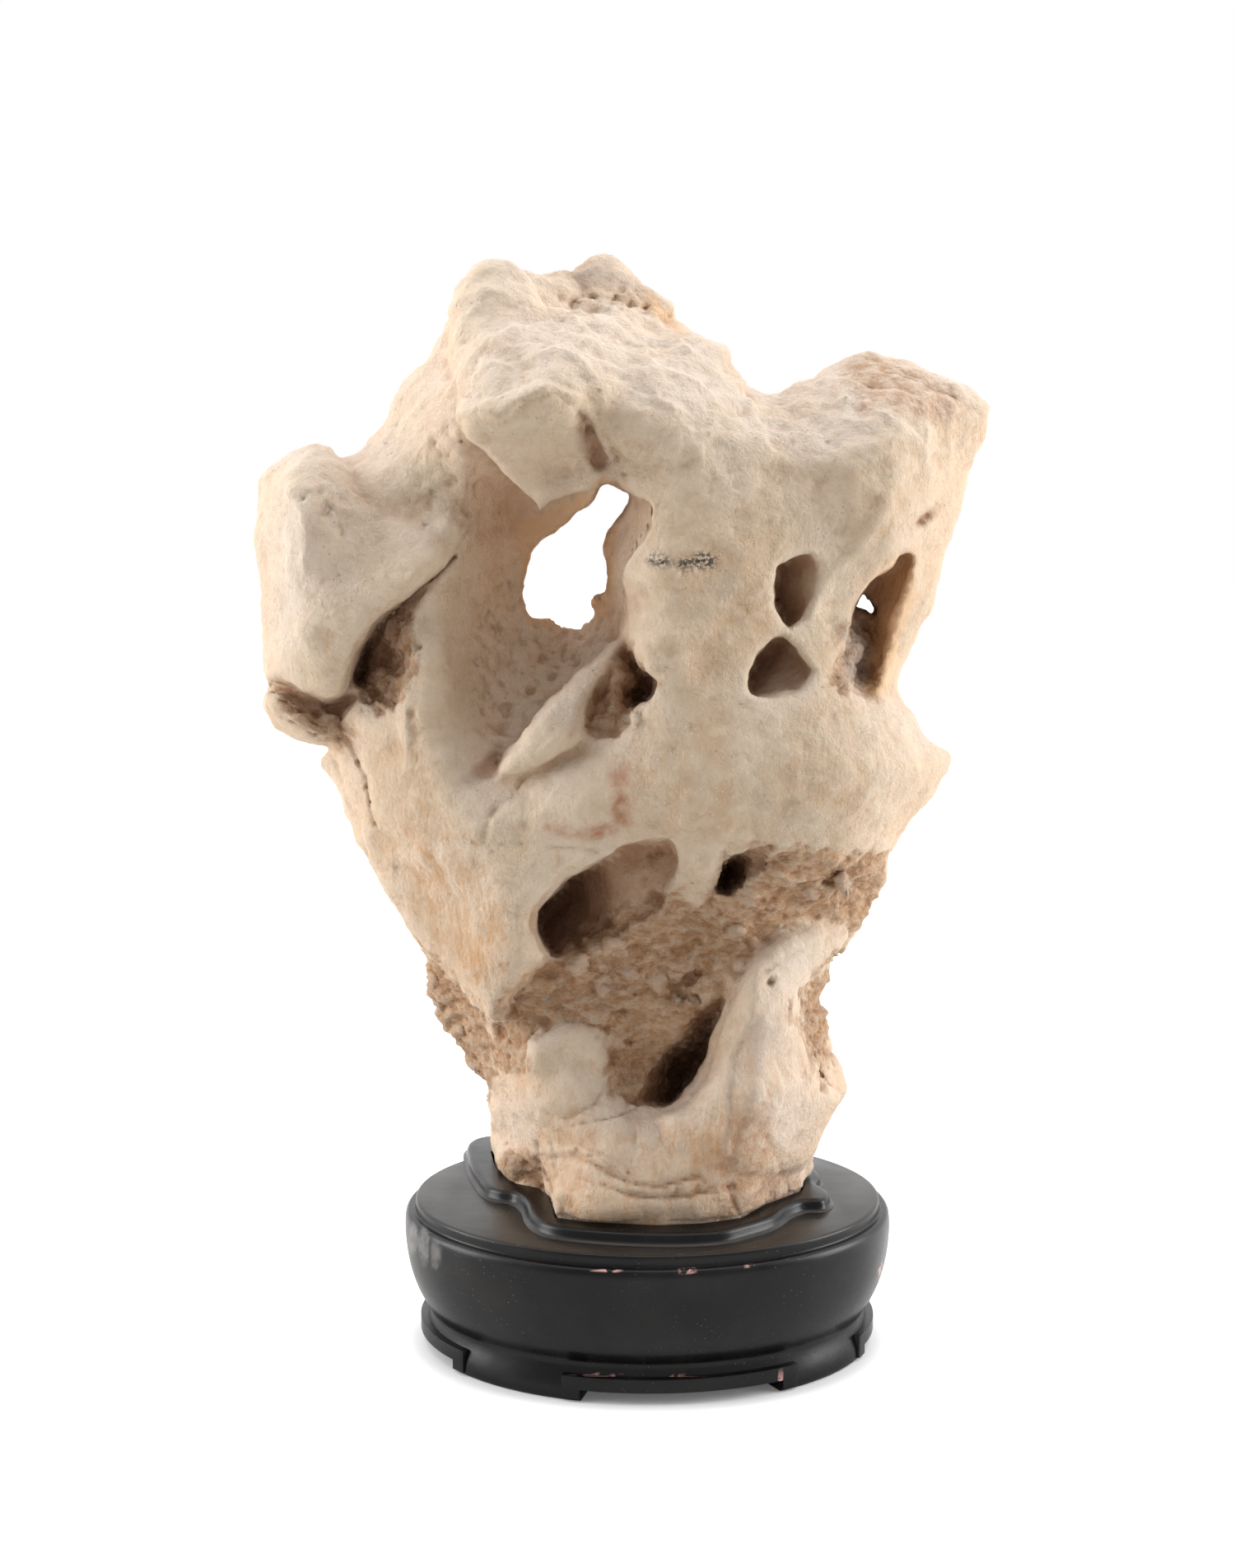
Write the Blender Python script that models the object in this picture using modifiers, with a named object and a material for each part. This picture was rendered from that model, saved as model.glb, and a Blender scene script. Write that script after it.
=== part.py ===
"""A scholar stone: a pale eroded limestone with a through hole, standing in a carved oval wooden stand.

Metres, +Z up. The front faces -Y and the origin is on the ground, under the middle of the object.

The stone has no straight edge to measure, so its forms are drawn as they look from one sighting point in
front of it. A sight (u, v) is a place in that view, u to the right and v down. Each form has an outline of
sights and a relief: spot depths in millimetres along Y, where less is nearer to the front.
"""
import math

import bmesh
import bpy
import numpy as np
from mathutils import Matrix, Vector

MM = 0.001
SLIVER = 0.00001

# Driving dimensions: the stand
STAND_CENTRE_X = 0.0109
PLATEAU_HALF_LENGTH = 0.0849
PLATEAU_HALF_DEPTH = 0.0632
PLATEAU_HEIGHT = 0.0541
COLLAR_RISE = 0.0043
SOCKET_FLOOR = PLATEAU_HEIGHT - 0.0042
PANEL_UNDERSIDE = 0.0046
PANEL_HIDDEN_FOOT = 0.0012
PANEL_TOP = 0.0094
PANEL_OUTSIDE = -0.0014
PANEL_INSIDE = -0.0110
UNDERSIDE_RECESS = 0.0034
RECESS_INSET = -0.0150
ARCH_INSET = RECESS_INSET - 0.006
COLLAR_ROOT = PLATEAU_HEIGHT - 0.003
COLLAR_ROUNDING = 0.0014
OVAL_STEPS = 48
PANEL_STEP = 5.0
RECESS_STEP = 8

# Driving dimensions: the stone in its socket
FOOT_CLEARANCE = 0.0008
TOUCH_GAP = 0.0003
FOOT_BOTTOM = SOCKET_FLOOR + TOUCH_GAP
FOOT_TOP = PLATEAU_HEIGHT + COLLAR_RISE + 0.0012
FOOT_INTO_STONE = 0.008
FOOT_ALLOWANCE = 0.004

# How far cutters reach past what they cut
BELOW_GROUND = -0.010
BEYOND_DRUM = 0.010
ABOVE_STAND = 0.100
AROUND_FOOT = 0.200
UNDER_EVERYTHING = -0.020

# The sighting point: where it is, how far it looks down, its scale and the middle of its view
SIGHT_POINT = Vector((0.0, -0.700, 0.3059))
SIGHT_PITCH = math.radians(8.18)
SIGHT_SCALE = 2408.0
SIGHT_MIDDLE = (750.0, 952.0)
SIGHT_STEP = 7.0

# How the stone's surface is worked
FUSE_SIZE = 0.0020
WEATHER_SIZE = 0.0018
WEATHER_PASSES = 3
WEATHER_SOFTNESS = 0.5
GRAIN_SIZE = 0.011
GRAIN_DEPTH = 0.0013
SWELL_SIZE = 0.028
SWELL_DEPTH = 0.0045
SWELL_START = 0.012
SWELL_FULL = 0.030
STONE_TRIANGLES = 6900
IN_FRONT = -110.0
BEHIND = 110.0
RELIEF_SPAN = 100.0
RELIEF_GIVE = 0.001
SHARP_ANGLE = math.radians(35)
BEVEL_ANGLE = math.radians(50)

# Surfaces: colour and roughness
LIMESTONE = ((0.66, 0.54, 0.41), 0.85)
LACQUER = ((0.018, 0.017, 0.018), 0.35)

# Outlines of the stone's forms, as sights, clockwise from the lower left
SILHOUETTE = [
    (618, 1440), (604, 1424), (600, 1400), (597, 1380), (592, 1335), (585, 1320), (564, 1290), (555, 1266),
    (528, 1231), (519, 1217), (518, 1207), (521, 1186), (514, 1152), (500, 1135), (488, 1112), (473, 1090),
    (449, 1045), (431, 1018), (421, 990), (407, 952), (394, 931), (388, 925), (399, 916), (404, 904),
    (390, 906), (363, 900), (335, 882), (321, 859), (323, 838), (328, 828), (323, 826), (316, 755), (319, 719),
    (312, 687), (308, 658), (314, 616), (318, 577), (331, 565), (355, 547), (381, 539), (397, 544), (412, 557),
    (426, 555), (442, 549), (458, 529), (470, 510), (476, 490), (490, 462), (507, 448), (519, 444), (523, 423),
    (537, 405), (549, 387), (552, 355), (565, 336), (580, 320), (596, 314), (616, 318), (636, 330), (662, 338),
    (695, 328), (711, 316), (727, 310), (747, 318), (766, 328), (782, 347), (802, 367), (812, 383), (830, 404),
    (845, 413), (865, 417), (877, 414), (886, 423), (887, 446), (896, 460), (913, 476), (933, 480), (949, 476),
    (972, 463), (992, 461), (1012, 448), (1039, 435), (1055, 431), (1075, 435), (1118, 446), (1155, 463),
    (1175, 468), (1191, 483), (1202, 496), (1198, 523), (1181, 552), (1175, 579), (1168, 605), (1158, 642),
    (1148, 668), (1142, 698), (1132, 741), (1115, 765), (1102, 791), (1090, 824), (1087, 841), (1095, 854),
    (1110, 874), (1118, 892), (1134, 908), (1160, 915), (1154, 928), (1141, 951), (1131, 970), (1105, 993),
    (1087, 1019), (1079, 1045), (1078, 1068), (1066, 1084), (1056, 1097), (1047, 1120), (1037, 1143),
    (1021, 1157), (1008, 1165), (1004, 1178), (995, 1211), (1001, 1231), (1008, 1250), (1014, 1276),
    (1026, 1305), (1029, 1318), (1022, 1341), (1014, 1348), (990, 1395), (982, 1427), (976, 1455), (940, 1500),
    (900, 1520), (800, 1528), (700, 1522), (660, 1500), (650, 1465)]

DOME = [
    (548, 480), (549, 387), (552, 355), (565, 336), (580, 320), (596, 314), (616, 318), (640, 340), (660, 372),
    (700, 386), (745, 388), (775, 400), (800, 412), (830, 404), (865, 417), (886, 423), (887, 446), (905, 470),
    (930, 520), (900, 600), (800, 600), (740, 560), (690, 530), (600, 540), (556, 520)]
TOOTH = [
    (552, 502), (560, 482), (590, 464), (625, 450), (662, 442), (700, 448), (722, 480), (735, 520), (742, 555),
    (735, 578), (728, 588), (715, 597), (690, 600), (665, 610), (656, 628), (650, 606), (630, 590), (600, 560),
    (570, 532)]
LEFT_LOBE = [
    (323, 826), (316, 755), (319, 719), (312, 687), (308, 658), (314, 616), (318, 577), (331, 565), (355, 547),
    (381, 539), (397, 544), (418, 562), (440, 590), (480, 610), (530, 640), (552, 668), (548, 690), (520, 710),
    (490, 733), (455, 758), (436, 790), (424, 826), (418, 842), (395, 850), (372, 842), (345, 828)]
LOWER_LOBE = [
    (323, 838), (345, 842), (375, 858), (400, 868), (414, 880), (404, 904), (390, 906), (363, 900), (335, 882),
    (321, 859)]
BLADE = [
    (598, 948), (604, 928), (630, 900), (650, 872), (672, 848), (700, 818), (735, 792), (758, 780), (768, 792),
    (748, 812), (722, 842), (712, 872), (720, 900), (690, 915), (640, 940)]
SKIRT = [
    (514, 1152), (500, 1135), (473, 1090), (449, 1045), (440, 1000), (520, 980), (640, 1000), (735, 1030),
    (690, 1062), (658, 1092), (646, 1112), (649, 1132), (660, 1150), (668, 1163), (640, 1190), (620, 1212),
    (608, 1242), (596, 1238), (560, 1190), (535, 1166)]
BOSS = [
    (637, 1298), (640, 1266), (656, 1248), (690, 1242), (732, 1250), (744, 1280), (736, 1312), (716, 1340),
    (690, 1354), (660, 1338)]
FLANGE = [
    (800, 1420), (800, 1352), (836, 1342), (858, 1310), (870, 1268), (882, 1228), (896, 1192), (918, 1160),
    (950, 1132), (1000, 1118), (1036, 1132), (1018, 1154), (996, 1176), (972, 1204), (968, 1240), (980, 1276),
    (998, 1312), (1022, 1330), (1014, 1348), (990, 1395), (976, 1420), (900, 1440)]

MAIN_HOLE = [
    (728, 585), (748, 582), (769, 600), (758, 627), (741, 644), (733, 668), (741, 685), (740, 720), (719, 726),
    (699, 740), (684, 747), (652, 754), (639, 746), (633, 733), (634, 705), (645, 668), (673, 644), (699, 623),
    (717, 610)]
LOBE_SLIT = [
    (554, 676), (530, 698), (504, 716), (480, 738), (456, 757), (437, 790), (425, 828), (444, 838), (482, 868),
    (494, 830), (499, 780), (503, 742), (522, 716), (544, 698)]
LOBE_CREVICE = [
    (322, 824), (345, 829), (372, 843), (395, 851), (420, 841), (440, 842), (422, 868), (408, 892), (410, 876),
    (398, 866), (372, 858), (345, 843), (322, 834)]
BASIN_NOTCH = [(544, 962), (556, 946), (584, 926), (604, 900), (616, 918), (602, 940), (574, 964)]
BLADE_POCKET = [
    (768, 792), (748, 812), (722, 842), (712, 872), (722, 898), (746, 900), (770, 876), (764, 864), (790, 856),
    (806, 836), (800, 818), (780, 806)]
WINDOW = [
    (1091, 671), (1101, 668), (1110, 674), (1108, 692), (1101, 715), (1091, 742), (1080, 800), (1070, 839),
    (1063, 849), (1049, 847), (1030, 831), (1020, 816), (1016, 799), (1022, 784), (1032, 753), (1034, 734),
    (1045, 719), (1063, 698), (1080, 690)]
WINDOW_LIGHT = [(1048, 714), (1060, 728), (1068, 752), (1056, 746), (1046, 740), (1034, 746), (1036, 730)]
HOLE_FLANK = [
    (764, 598), (796, 610), (792, 640), (778, 665), (762, 690), (757, 706), (765, 730), (760, 762), (752, 784),
    (728, 780), (734, 740), (738, 720), (738, 685), (730, 668), (738, 644), (752, 627)]
POCKET_A = [(939, 703), (941, 686), (960, 676), (985, 668), (1000, 690), (990, 730), (972, 756), (958, 767),
            (947, 752), (938, 732), (936, 715)]
POCKET_B = [
    (955, 773), (942, 772), (931, 778), (919, 793), (906, 820), (904, 834), (911, 847), (930, 849), (968, 848),
    (984, 832), (990, 816), (976, 795), (966, 782)]
POCKET_C = [
    (648, 1110), (650, 1130), (660, 1150), (672, 1163), (700, 1158), (750, 1142), (790, 1120), (808, 1092),
    (824, 1052), (826, 1032), (815, 1018), (780, 1020), (755, 1025), (730, 1043), (690, 1064), (660, 1094)]
POCKET_D = [(866, 1080), (872, 1056), (890, 1038), (915, 1028), (932, 1034), (924, 1056), (902, 1078), (880, 1088)]
POCKET_E = [
    (772, 1338), (800, 1346), (822, 1340), (846, 1310), (858, 1288), (870, 1244), (886, 1206), (868, 1212),
    (840, 1240), (812, 1268), (796, 1296)]
TOOTH_POCKET = [(692, 496), (706, 492), (722, 516), (736, 545), (742, 566), (726, 574), (708, 560), (698, 530)]
ARM_SLIT = [(1143, 614), (1136, 628), (1116, 642), (1106, 641), (1114, 628), (1132, 616)]

# Reliefs: spot depths (u, v, millimetres along Y)
BODY_FRONT = [
    (610, 335, -4), (560, 390, -6), (660, 350, 4), (727, 325, 16), (700, 372, 10), (770, 365, 16),
    (810, 400, 10), (540, 450, -14), (500, 490, -16), (560, 480, -30), (640, 440, -26), (740, 440, -28),
    (860, 450, -22), (480, 530, -20), (450, 590, -24), (560, 560, -34), (520, 620, -28), (640, 530, -34),
    (740, 530, -38), (820, 540, -46), (900, 520, -40), (960, 500, -24), (1000, 560, -40), (1060, 450, -8),
    (1082, 510, -30), (1078, 570, -41), (1120, 570, -27), (1185, 500, -4), (1160, 580, -9), (1086, 630, -38),
    (1135, 660, -15),
    (330, 600, -2), (400, 620, -14), (340, 750, -2), (430, 740, -12), (400, 820, -8), (345, 870, -2),
    (550, 650, -32), (520, 730, -34), (508, 800, -38), (505, 870, -40), (540, 930, -43), (470, 800, -14),
    (620, 610, 0), (600, 680, -4), (585, 740, -8), (575, 810, -18), (640, 775, 2), (690, 785, 4), (620, 850, -14),
    (600, 890, -22), (730, 750, 8), (660, 830, -8), (640, 690, 6), (790, 620, -48), (860, 640, -53),
    (920, 620, -50), (775, 700, -48), (840, 720, -55), (905, 720, -53), (775, 780, -50), (850, 800, -56),
    (1010, 650, -42), (1000, 720, -40), (957, 768, -48), (1005, 780, -43), (1120, 700, -22), (1100, 760, -20),
    (1080, 810, -24), (1040, 870, -42), (1110, 900, -28), (1150, 915, -10), (1110, 950, -28), (1060, 960, -42),
    (430, 880, -22), (480, 900, -32), (410, 930, -10), (450, 980, -22), (520, 1000, -38), (600, 990, -48),
    (680, 950, -51), (760, 930, -53), (850, 900, -57), (940, 900, -56), (1000, 940, -53), (850, 990, -57),
    (960, 1000, -50), (1040, 1020, -38), (720, 1010, -52), (560, 1060, -40), (500, 1090, -18), (620, 1090, -38),
    (560, 1150, -20), (700, 1180, -27), (780, 1160, -25), (850, 1110, -30), (940, 1080, -36), (1040, 1080, -22),
    (860, 1170, -27), (640, 1230, -22), (730, 1230, -27), (800, 1230, -25), (545, 1210, 2), (575, 1280, 4),
    (620, 1290, -14), (640, 1340, -24), (760, 1300, -24), (820, 1300, -18), (900, 1200, -32), (1000, 1190, -4),
    (990, 1260, -8), (1015, 1310, -4), (950, 1320, -36), (1000, 1350, -14), (605, 1390, 24), (625, 1400, 2),
    (660, 1390, -22), (700, 1390, -36), (800, 1390, -42), (890, 1390, -42), (940, 1390, -32), (975, 1400, -14),
    (690, 1470, -40), (800, 1480, -45), (900, 1470, -40), (965, 1450, -16), (640, 1440, -4)]
BODY_BACK = [
    (600, 340, 22), (727, 325, 34), (800, 400, 36), (660, 420, 30), (560, 420, 18), (500, 500, 20),
    (600, 540, 26), (740, 500, 44), (860, 480, 40), (960, 520, 34), (1060, 460, 22), (1150, 500, 20),
    (1100, 580, 30), (340, 600, 16), (430, 620, 24), (340, 760, 14), (430, 760, 26), (345, 870, 12),
    (520, 680, 22), (600, 680, 24), (560, 800, 34), (700, 780, 32), (800, 640, 30), (780, 740, 34),
    (880, 600, 44), (900, 740, 48), (1000, 680, 40), (1080, 740, 26), (1140, 650, 12), (430, 900, 24),
    (520, 920, 40), (640, 900, 50), (780, 900, 54), (920, 880, 54), (1040, 900, 40), (1140, 915, 6),
    (430, 960, 16), (500, 1020, 34), (620, 1040, 52), (760, 1040, 44), (900, 1020, 52), (1030, 1020, 34),
    (510, 1110, 20), (600, 1140, 44), (720, 1160, 52), (850, 1160, 44), (960, 1140, 40), (1040, 1100, 20),
    (540, 1210, 20), (620, 1240, 42), (740, 1280, 38), (880, 1260, 46), (1000, 1200, 16), (1020, 1310, 14),
    (600, 1330, 34), (680, 1360, 48), (800, 1380, 42), (920, 1360, 48), (990, 1350, 26), (610, 1400, 40),
    (700, 1450, 46), (820, 1460, 46), (930, 1440, 40), (975, 1430, 20)]
DOME_FRONT = [
    (600, 340, -10), (570, 420, -28), (660, 400, -24), (760, 410, -18), (860, 440, -20), (640, 460, -48),
    (600, 480, -52), (655, 475, -57), (560, 490, -46), (700, 480, -54), (740, 470, -46), (830, 500, -46),
    (880, 560, -46), (600, 520, -40), (660, 510, -40), (700, 540, -40)]
LOBE_FRONT = [
    (332, 590, -14), (352, 590, -32), (380, 570, -24), (385, 606, -38), (420, 600, -26), (425, 640, -33),
    (326, 680, -14), (356, 680, -36), (372, 660, -41), (395, 700, -39), (450, 680, -38), (500, 680, -42),
    (545, 680, -40), (335, 770, -16), (362, 770, -36), (400, 770, -40), (440, 740, -42), (350, 820, -26),
    (400, 835, -34), (420, 800, -39), (480, 640, -32)]
TOOTH_FRONT = [
    (560, 486, -43), (600, 468, -45), (655, 450, -44), (705, 455, -45), (560, 503, -52), (600, 500, -59),
    (655, 476, -59), (695, 484, -56), (600, 545, -49), (650, 550, -44), (700, 560, -38), (655, 620, -38),
    (728, 580, -40), (735, 520, -46)]
BLADE_FRONT = [
    (604, 940, -50), (640, 915, -52), (660, 870, -48), (700, 860, -44), (720, 820, -38), (755, 788, -30),
    (700, 905, -50)]
SKIRT_FRONT = [
    (460, 1030, -18), (520, 1000, -34), (620, 1000, -48), (720, 1030, -50), (520, 1090, -26), (600, 1080, -46),
    (650, 1110, -48), (560, 1140, -32), (620, 1160, -46), (600, 1225, -40), (660, 1160, -44)]
FLANGE_FRONT = [
    (1020, 1140, -16), (950, 1145, -36), (915, 1180, -44), (930, 1240, -49), (890, 1270, -42), (925, 1320, -50),
    (960, 1270, -34), (860, 1330, -44), (990, 1340, -22), (820, 1400, -42), (900, 1400, -46), (965, 1390, -26)]
# Floors of the hollows
WINDOW_FLOOR = [
    (1100, 685, -14), (1085, 710, -8), (1060, 720, 2), (1056, 770, 2), (1052, 820, -8), (1036, 770, -14),
    (1036, 800, -19), (1028, 820, -26), (1080, 760, -14), (1070, 810, -18), (1055, 840, -24)]
SLIT_FLOOR = [
    (435, 808, 8), (446, 786, 2), (432, 826, 2), (470, 775, -18), (494, 760, -27), (470, 800, -20),
    (480, 835, -26), (495, 850, -32), (505, 722, -24), (545, 692, -30), (480, 745, -16)]
BLADE_FLOOR = [
    (777, 842, -4), (764, 850, -24), (730, 880, -43), (738, 850, -40), (750, 820, -37), (768, 806, -34),
    (794, 834, -26), (755, 888, -44), (765, 870, -40)]
FLANK_FLOOR = [
    (740, 640, -8), (758, 640, -16), (788, 620, -34), (740, 690, -10), (755, 700, -22), (740, 740, -6),
    (758, 740, -18), (745, 775, -8), (775, 610, -26)]
FLOOR_A = [
    (943, 720, -19), (955, 690, -24), (965, 748, -27), (985, 690, -36), (1000, 682, -43), (990, 730, -40)]
FLOOR_B = [
    (914, 834, -30), (935, 800, -23), (960, 782, -28), (970, 810, -36), (988, 825, -45), (975, 840, -47),
    (950, 848, -50), (930, 849, -46)]
FLOOR_C = [
    (665, 1120, 14), (690, 1085, 14), (710, 1060, 2), (733, 1050, -19), (760, 1045, -25), (800, 1034, -29),
    (722, 1118, -8), (745, 1100, -21), (790, 1100, -27), (700, 1150, -15), (740, 1140, -23),
    (815, 1075, -31)]
FLOOR_D = [
    (878, 1072, -9), (890, 1050, -13), (915, 1035, -38), (925, 1045, -38), (905, 1070, -28)]
FLOOR_E = [
    (825, 1305, 16), (840, 1285, 14), (860, 1245, -2), (880, 1215, -18), (790, 1335, -14),
    (782, 1320, -22), (800, 1290, -8), (830, 1262, -8)]
TOOTH_FLOOR = [
    (700, 505, -48), (712, 520, -42), (724, 545, -32), (714, 565, -36)]
NOTCH_FLOOR = [
    (556, 952, -43), (575, 945, -40), (600, 926, -30), (590, 955, -42)]

# The stone's foot and the collar round it, in plan, millimetres
FOOT = [
    (-48, 32), (-46, 20), (-42, 5), (-37, -3), (-28, -8), (-23, -20), (-21, -38), (-10, -42), (14, -45),
    (30, -43), (43, -38), (52, -25), (66, -11), (69, 4), (62, 20), (45, 33), (20, 38), (-10, 40), (-34, 42)]
COLLAR = [
    (-57, 30), (-55, 17), (-52, 6), (-48, -6), (-43, -11), (-37, -14), (-33, -22), (-31, -33), (-27, -42),
    (-19, -48), (-5, -52), (11, -54), (24, -54), (35, -52), (43, -47), (54, -38), (60, -28), (66, -22),
    (73, -21), (76, -16), (76, -9), (73, -2), (75, 8), (71, 22), (60, 32), (49, 41), (34, 43), (20, 47),
    (4, 46), (-12, 50), (-30, 49), (-38, 53), (-52, 52), (-58, 44)]

# The back, hidden in the front view: ridges as (outline, depth), then hollows as (outline, floor depth)
BACK_ROUNDING = 34
BACK_WALL = 22
WINDOW_LIGHT_START = -20.0
BACK_RIDGES = [
    ([(840, 470), (905, 520), (890, 700), (850, 890), (800, 900), (790, 760), (812, 600)], 60),
    ([(430, 880), (520, 850), (640, 850), (760, 890), (745, 960), (600, 935), (460, 955)], 59),
    ([(560, 1020), (700, 1010), (820, 1050), (920, 1120), (870, 1165), (720, 1105), (580, 1095)], 62),
    ([(990, 880), (1070, 850), (1125, 905), (1090, 965), (1005, 965)], 50),
    ([(630, 1240), (760, 1215), (850, 1250), (800, 1300), (680, 1300)], 54),
    ([(560, 500), (640, 470), (720, 500), (700, 560), (590, 590)], 46)]
BACK_HOLLOWS = [
    ([(600, 600), (660, 560), (740, 548), (796, 590), (790, 680), (770, 770), (690, 806), (610, 770),
      (582, 690)], 13),
    ([(905, 560), (960, 536), (1012, 566), (1004, 640), (940, 664), (900, 625)], 18),
    ([(880, 785), (935, 760), (962, 815), (935, 880), (872, 868)], 20),
    ([(470, 700), (536, 684), (562, 756), (520, 826), (470, 792)], 19),
    ([(560, 960), (640, 940), (706, 962), (690, 1004), (600, 1006)], 22),
    ([(815, 960), (900, 936), (972, 978), (940, 1046), (840, 1034)], 22),
    ([(620, 1140), (700, 1112), (744, 1160), (690, 1212), (622, 1196)], 25),
    ([(862, 1184), (930, 1160), (962, 1222), (900, 1280), (850, 1246)], 20),
    ([(372, 640), (430, 616), (452, 690), (400, 748), (362, 702)], 7),
    ([(745, 1312), (800, 1304), (842, 1334), (800, 1376), (740, 1364)], 30),
    ([(640, 400), (720, 380), (786, 420), (730, 462), (650, 452)], 20),
    ([(1050, 560), (1110, 540), (1132, 600), (1080, 640), (1040, 612)], 6)]

# Stand section: (outset from the plateau's edge, height), millimetres, from the ground up
STAND_SECTION = [
    (-3.1, 0.0), (-2.4, 0.8), (-2.2, 2.6), (-2.6, 5.0), (-3.4, 7.6), (-4.4, 10.4), (-5.0, 13.2), (-3.8, 15.4),
    (-1.6, 18.9), (0.8, 24.4), (2.6, 31.0), (3.6, 37.9), (3.9, 43.9), (3.6, 47.9), (2.9, 49.6), (2.0, 50.1),
    (0.7, 50.1), (0.1, 50.5), (-0.1, 52.9), (-0.5, 53.8), (-1.4, 54.1)]
# Panels and the open spaces under them: from and to, degrees round the oval from its front
PANELS = [(-21.2, 38.3), (65.0, 115.0), (141.7, 201.2), (231.5, 308.5)]
ARCH_START = 4.5


def remove_everything():
    for thing in list(bpy.data.objects):
        bpy.data.objects.remove(thing, do_unlink=True)


def new_collection(name):
    collection = bpy.data.collections.new(name)
    bpy.context.scene.collection.children.link(collection)
    return collection


def add_object(name, mesh, collection):
    thing = bpy.data.objects.new(name, mesh)
    collection.objects.link(thing)
    return thing


def as_guide(thing):
    """A body that only cuts others: drawn as wires, never rendered."""
    thing.hide_render = True
    thing.display_type = 'WIRE'
    return thing


def principled(name, colour, roughness):
    material = bpy.data.materials.new(name)
    material.use_nodes = True
    shader = material.node_tree.nodes["Principled BSDF"]
    shader.inputs["Base Color"].default_value = (*colour, 1.0)
    shader.inputs["Roughness"].default_value = roughness
    return material


def apply_modifiers(thing):
    """Make what the modifiers show the object's own mesh."""
    shown = bpy.context.evaluated_depsgraph_get()
    old = thing.data
    thing.data = bpy.data.meshes.new_from_object(thing.evaluated_get(shown))
    thing.modifiers.clear()
    bpy.data.meshes.remove(old)


def combine(thing, other, operation):
    step = thing.modifiers.new(operation.lower(), 'BOOLEAN')
    step.operation = operation
    step.solver = 'EXACT'
    step.object = other
    apply_modifiers(thing)
    weld(thing, SLIVER)


def weld(thing, distance):
    """Merge corners that lie closer together than this."""
    bm = bmesh.new()
    bm.from_mesh(thing.data)
    bmesh.ops.remove_doubles(bm, verts=bm.verts, dist=distance)
    bm.to_mesh(thing.data)
    bm.free()


# Sights and reliefs

def sight_to_world(u, v, depth):
    """World places of sights (u, v) at the given depths along Y; all are arrays."""
    across = (u - SIGHT_MIDDLE[0]) / SIGHT_SCALE
    up = (SIGHT_MIDDLE[1] - v) / SIGHT_SCALE
    forward = math.cos(SIGHT_PITCH) + up * math.sin(SIGHT_PITCH)
    rise = up * math.cos(SIGHT_PITCH) - math.sin(SIGHT_PITCH)
    reach = (depth - SIGHT_POINT.y) / forward
    return np.stack([SIGHT_POINT.x + across * reach, depth, SIGHT_POINT.z + rise * reach], axis=1)


def relief(spots):
    """A smooth surface of depths through hand-placed spots, as a function of arrays u and v."""
    spots = np.array(spots, float)
    places = spots[:, :2] / RELIEF_SPAN
    depths = spots[:, 2] * MM
    count = len(spots)

    def bend(a, b):
        squared = ((a[:, None, :] - b[None, :, :]) ** 2).sum(axis=2)
        return squared * np.log(np.sqrt(squared) + np.finfo(float).tiny)

    plane = np.column_stack([np.ones(count), places])
    system = np.zeros((count + 3, count + 3))
    system[:count, :count] = bend(places, places) + np.eye(count) * RELIEF_GIVE
    system[:count, count:] = plane
    system[count:, :count] = plane.T
    weights = np.linalg.solve(system, np.append(depths, np.zeros(3)))

    def depth_at(u, v):
        here = np.column_stack([u, v]) / RELIEF_SPAN
        bent = bend(here, places) @ weights[:count]
        flat = weights[count] + here @ weights[count + 1:]
        return np.clip(bent + flat, depths.min() - 2 * MM, depths.max() + 2 * MM)

    return depth_at


def level(depth):
    """A relief that is flat at one depth, in millimetres."""
    return lambda u, v: np.full(len(u), depth * MM)


def rounded(outline):
    """The outline with its corners cut twice."""
    for _ in range(2):
        cut = []
        for here, after in zip(outline, outline[1:] + outline[:1]):
            step = np.subtract(after, here)
            cut += [tuple(np.add(here, step * 0.25)), tuple(np.add(here, step * 0.75))]
        outline = cut
    return outline


def edge_distance(points, outline):
    """Each point's distance to the outline and its nearest place on it."""
    start = np.array(outline, float)
    along = np.roll(start, -1, axis=0) - start
    offset = points[:, None, :] - start[None, :, :]
    share = np.clip((offset * along).sum(axis=2) / (along ** 2).sum(axis=1), 0.0, 1.0)
    nearest = start[None, :, :] + share[..., None] * along[None, :, :]
    distance = np.linalg.norm(points[:, None, :] - nearest, axis=2)
    best = distance.argmin(axis=1)
    rows = np.arange(len(points))
    return distance[rows, best], nearest[rows, best]


def is_inside(points, outline):
    """Which points the outline encloses."""
    inside = np.zeros(len(points), bool)
    for (u0, v0), (u1, v1) in zip(outline, outline[1:] + outline[:1]):
        if v0 == v1:
            continue
        crosses = (points[:, 1] < v0) != (points[:, 1] < v1)
        where = u0 + (points[:, 1] - v0) * (u1 - u0) / (v1 - v0)
        inside ^= crosses & (points[:, 0] < where)
    return inside


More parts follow.
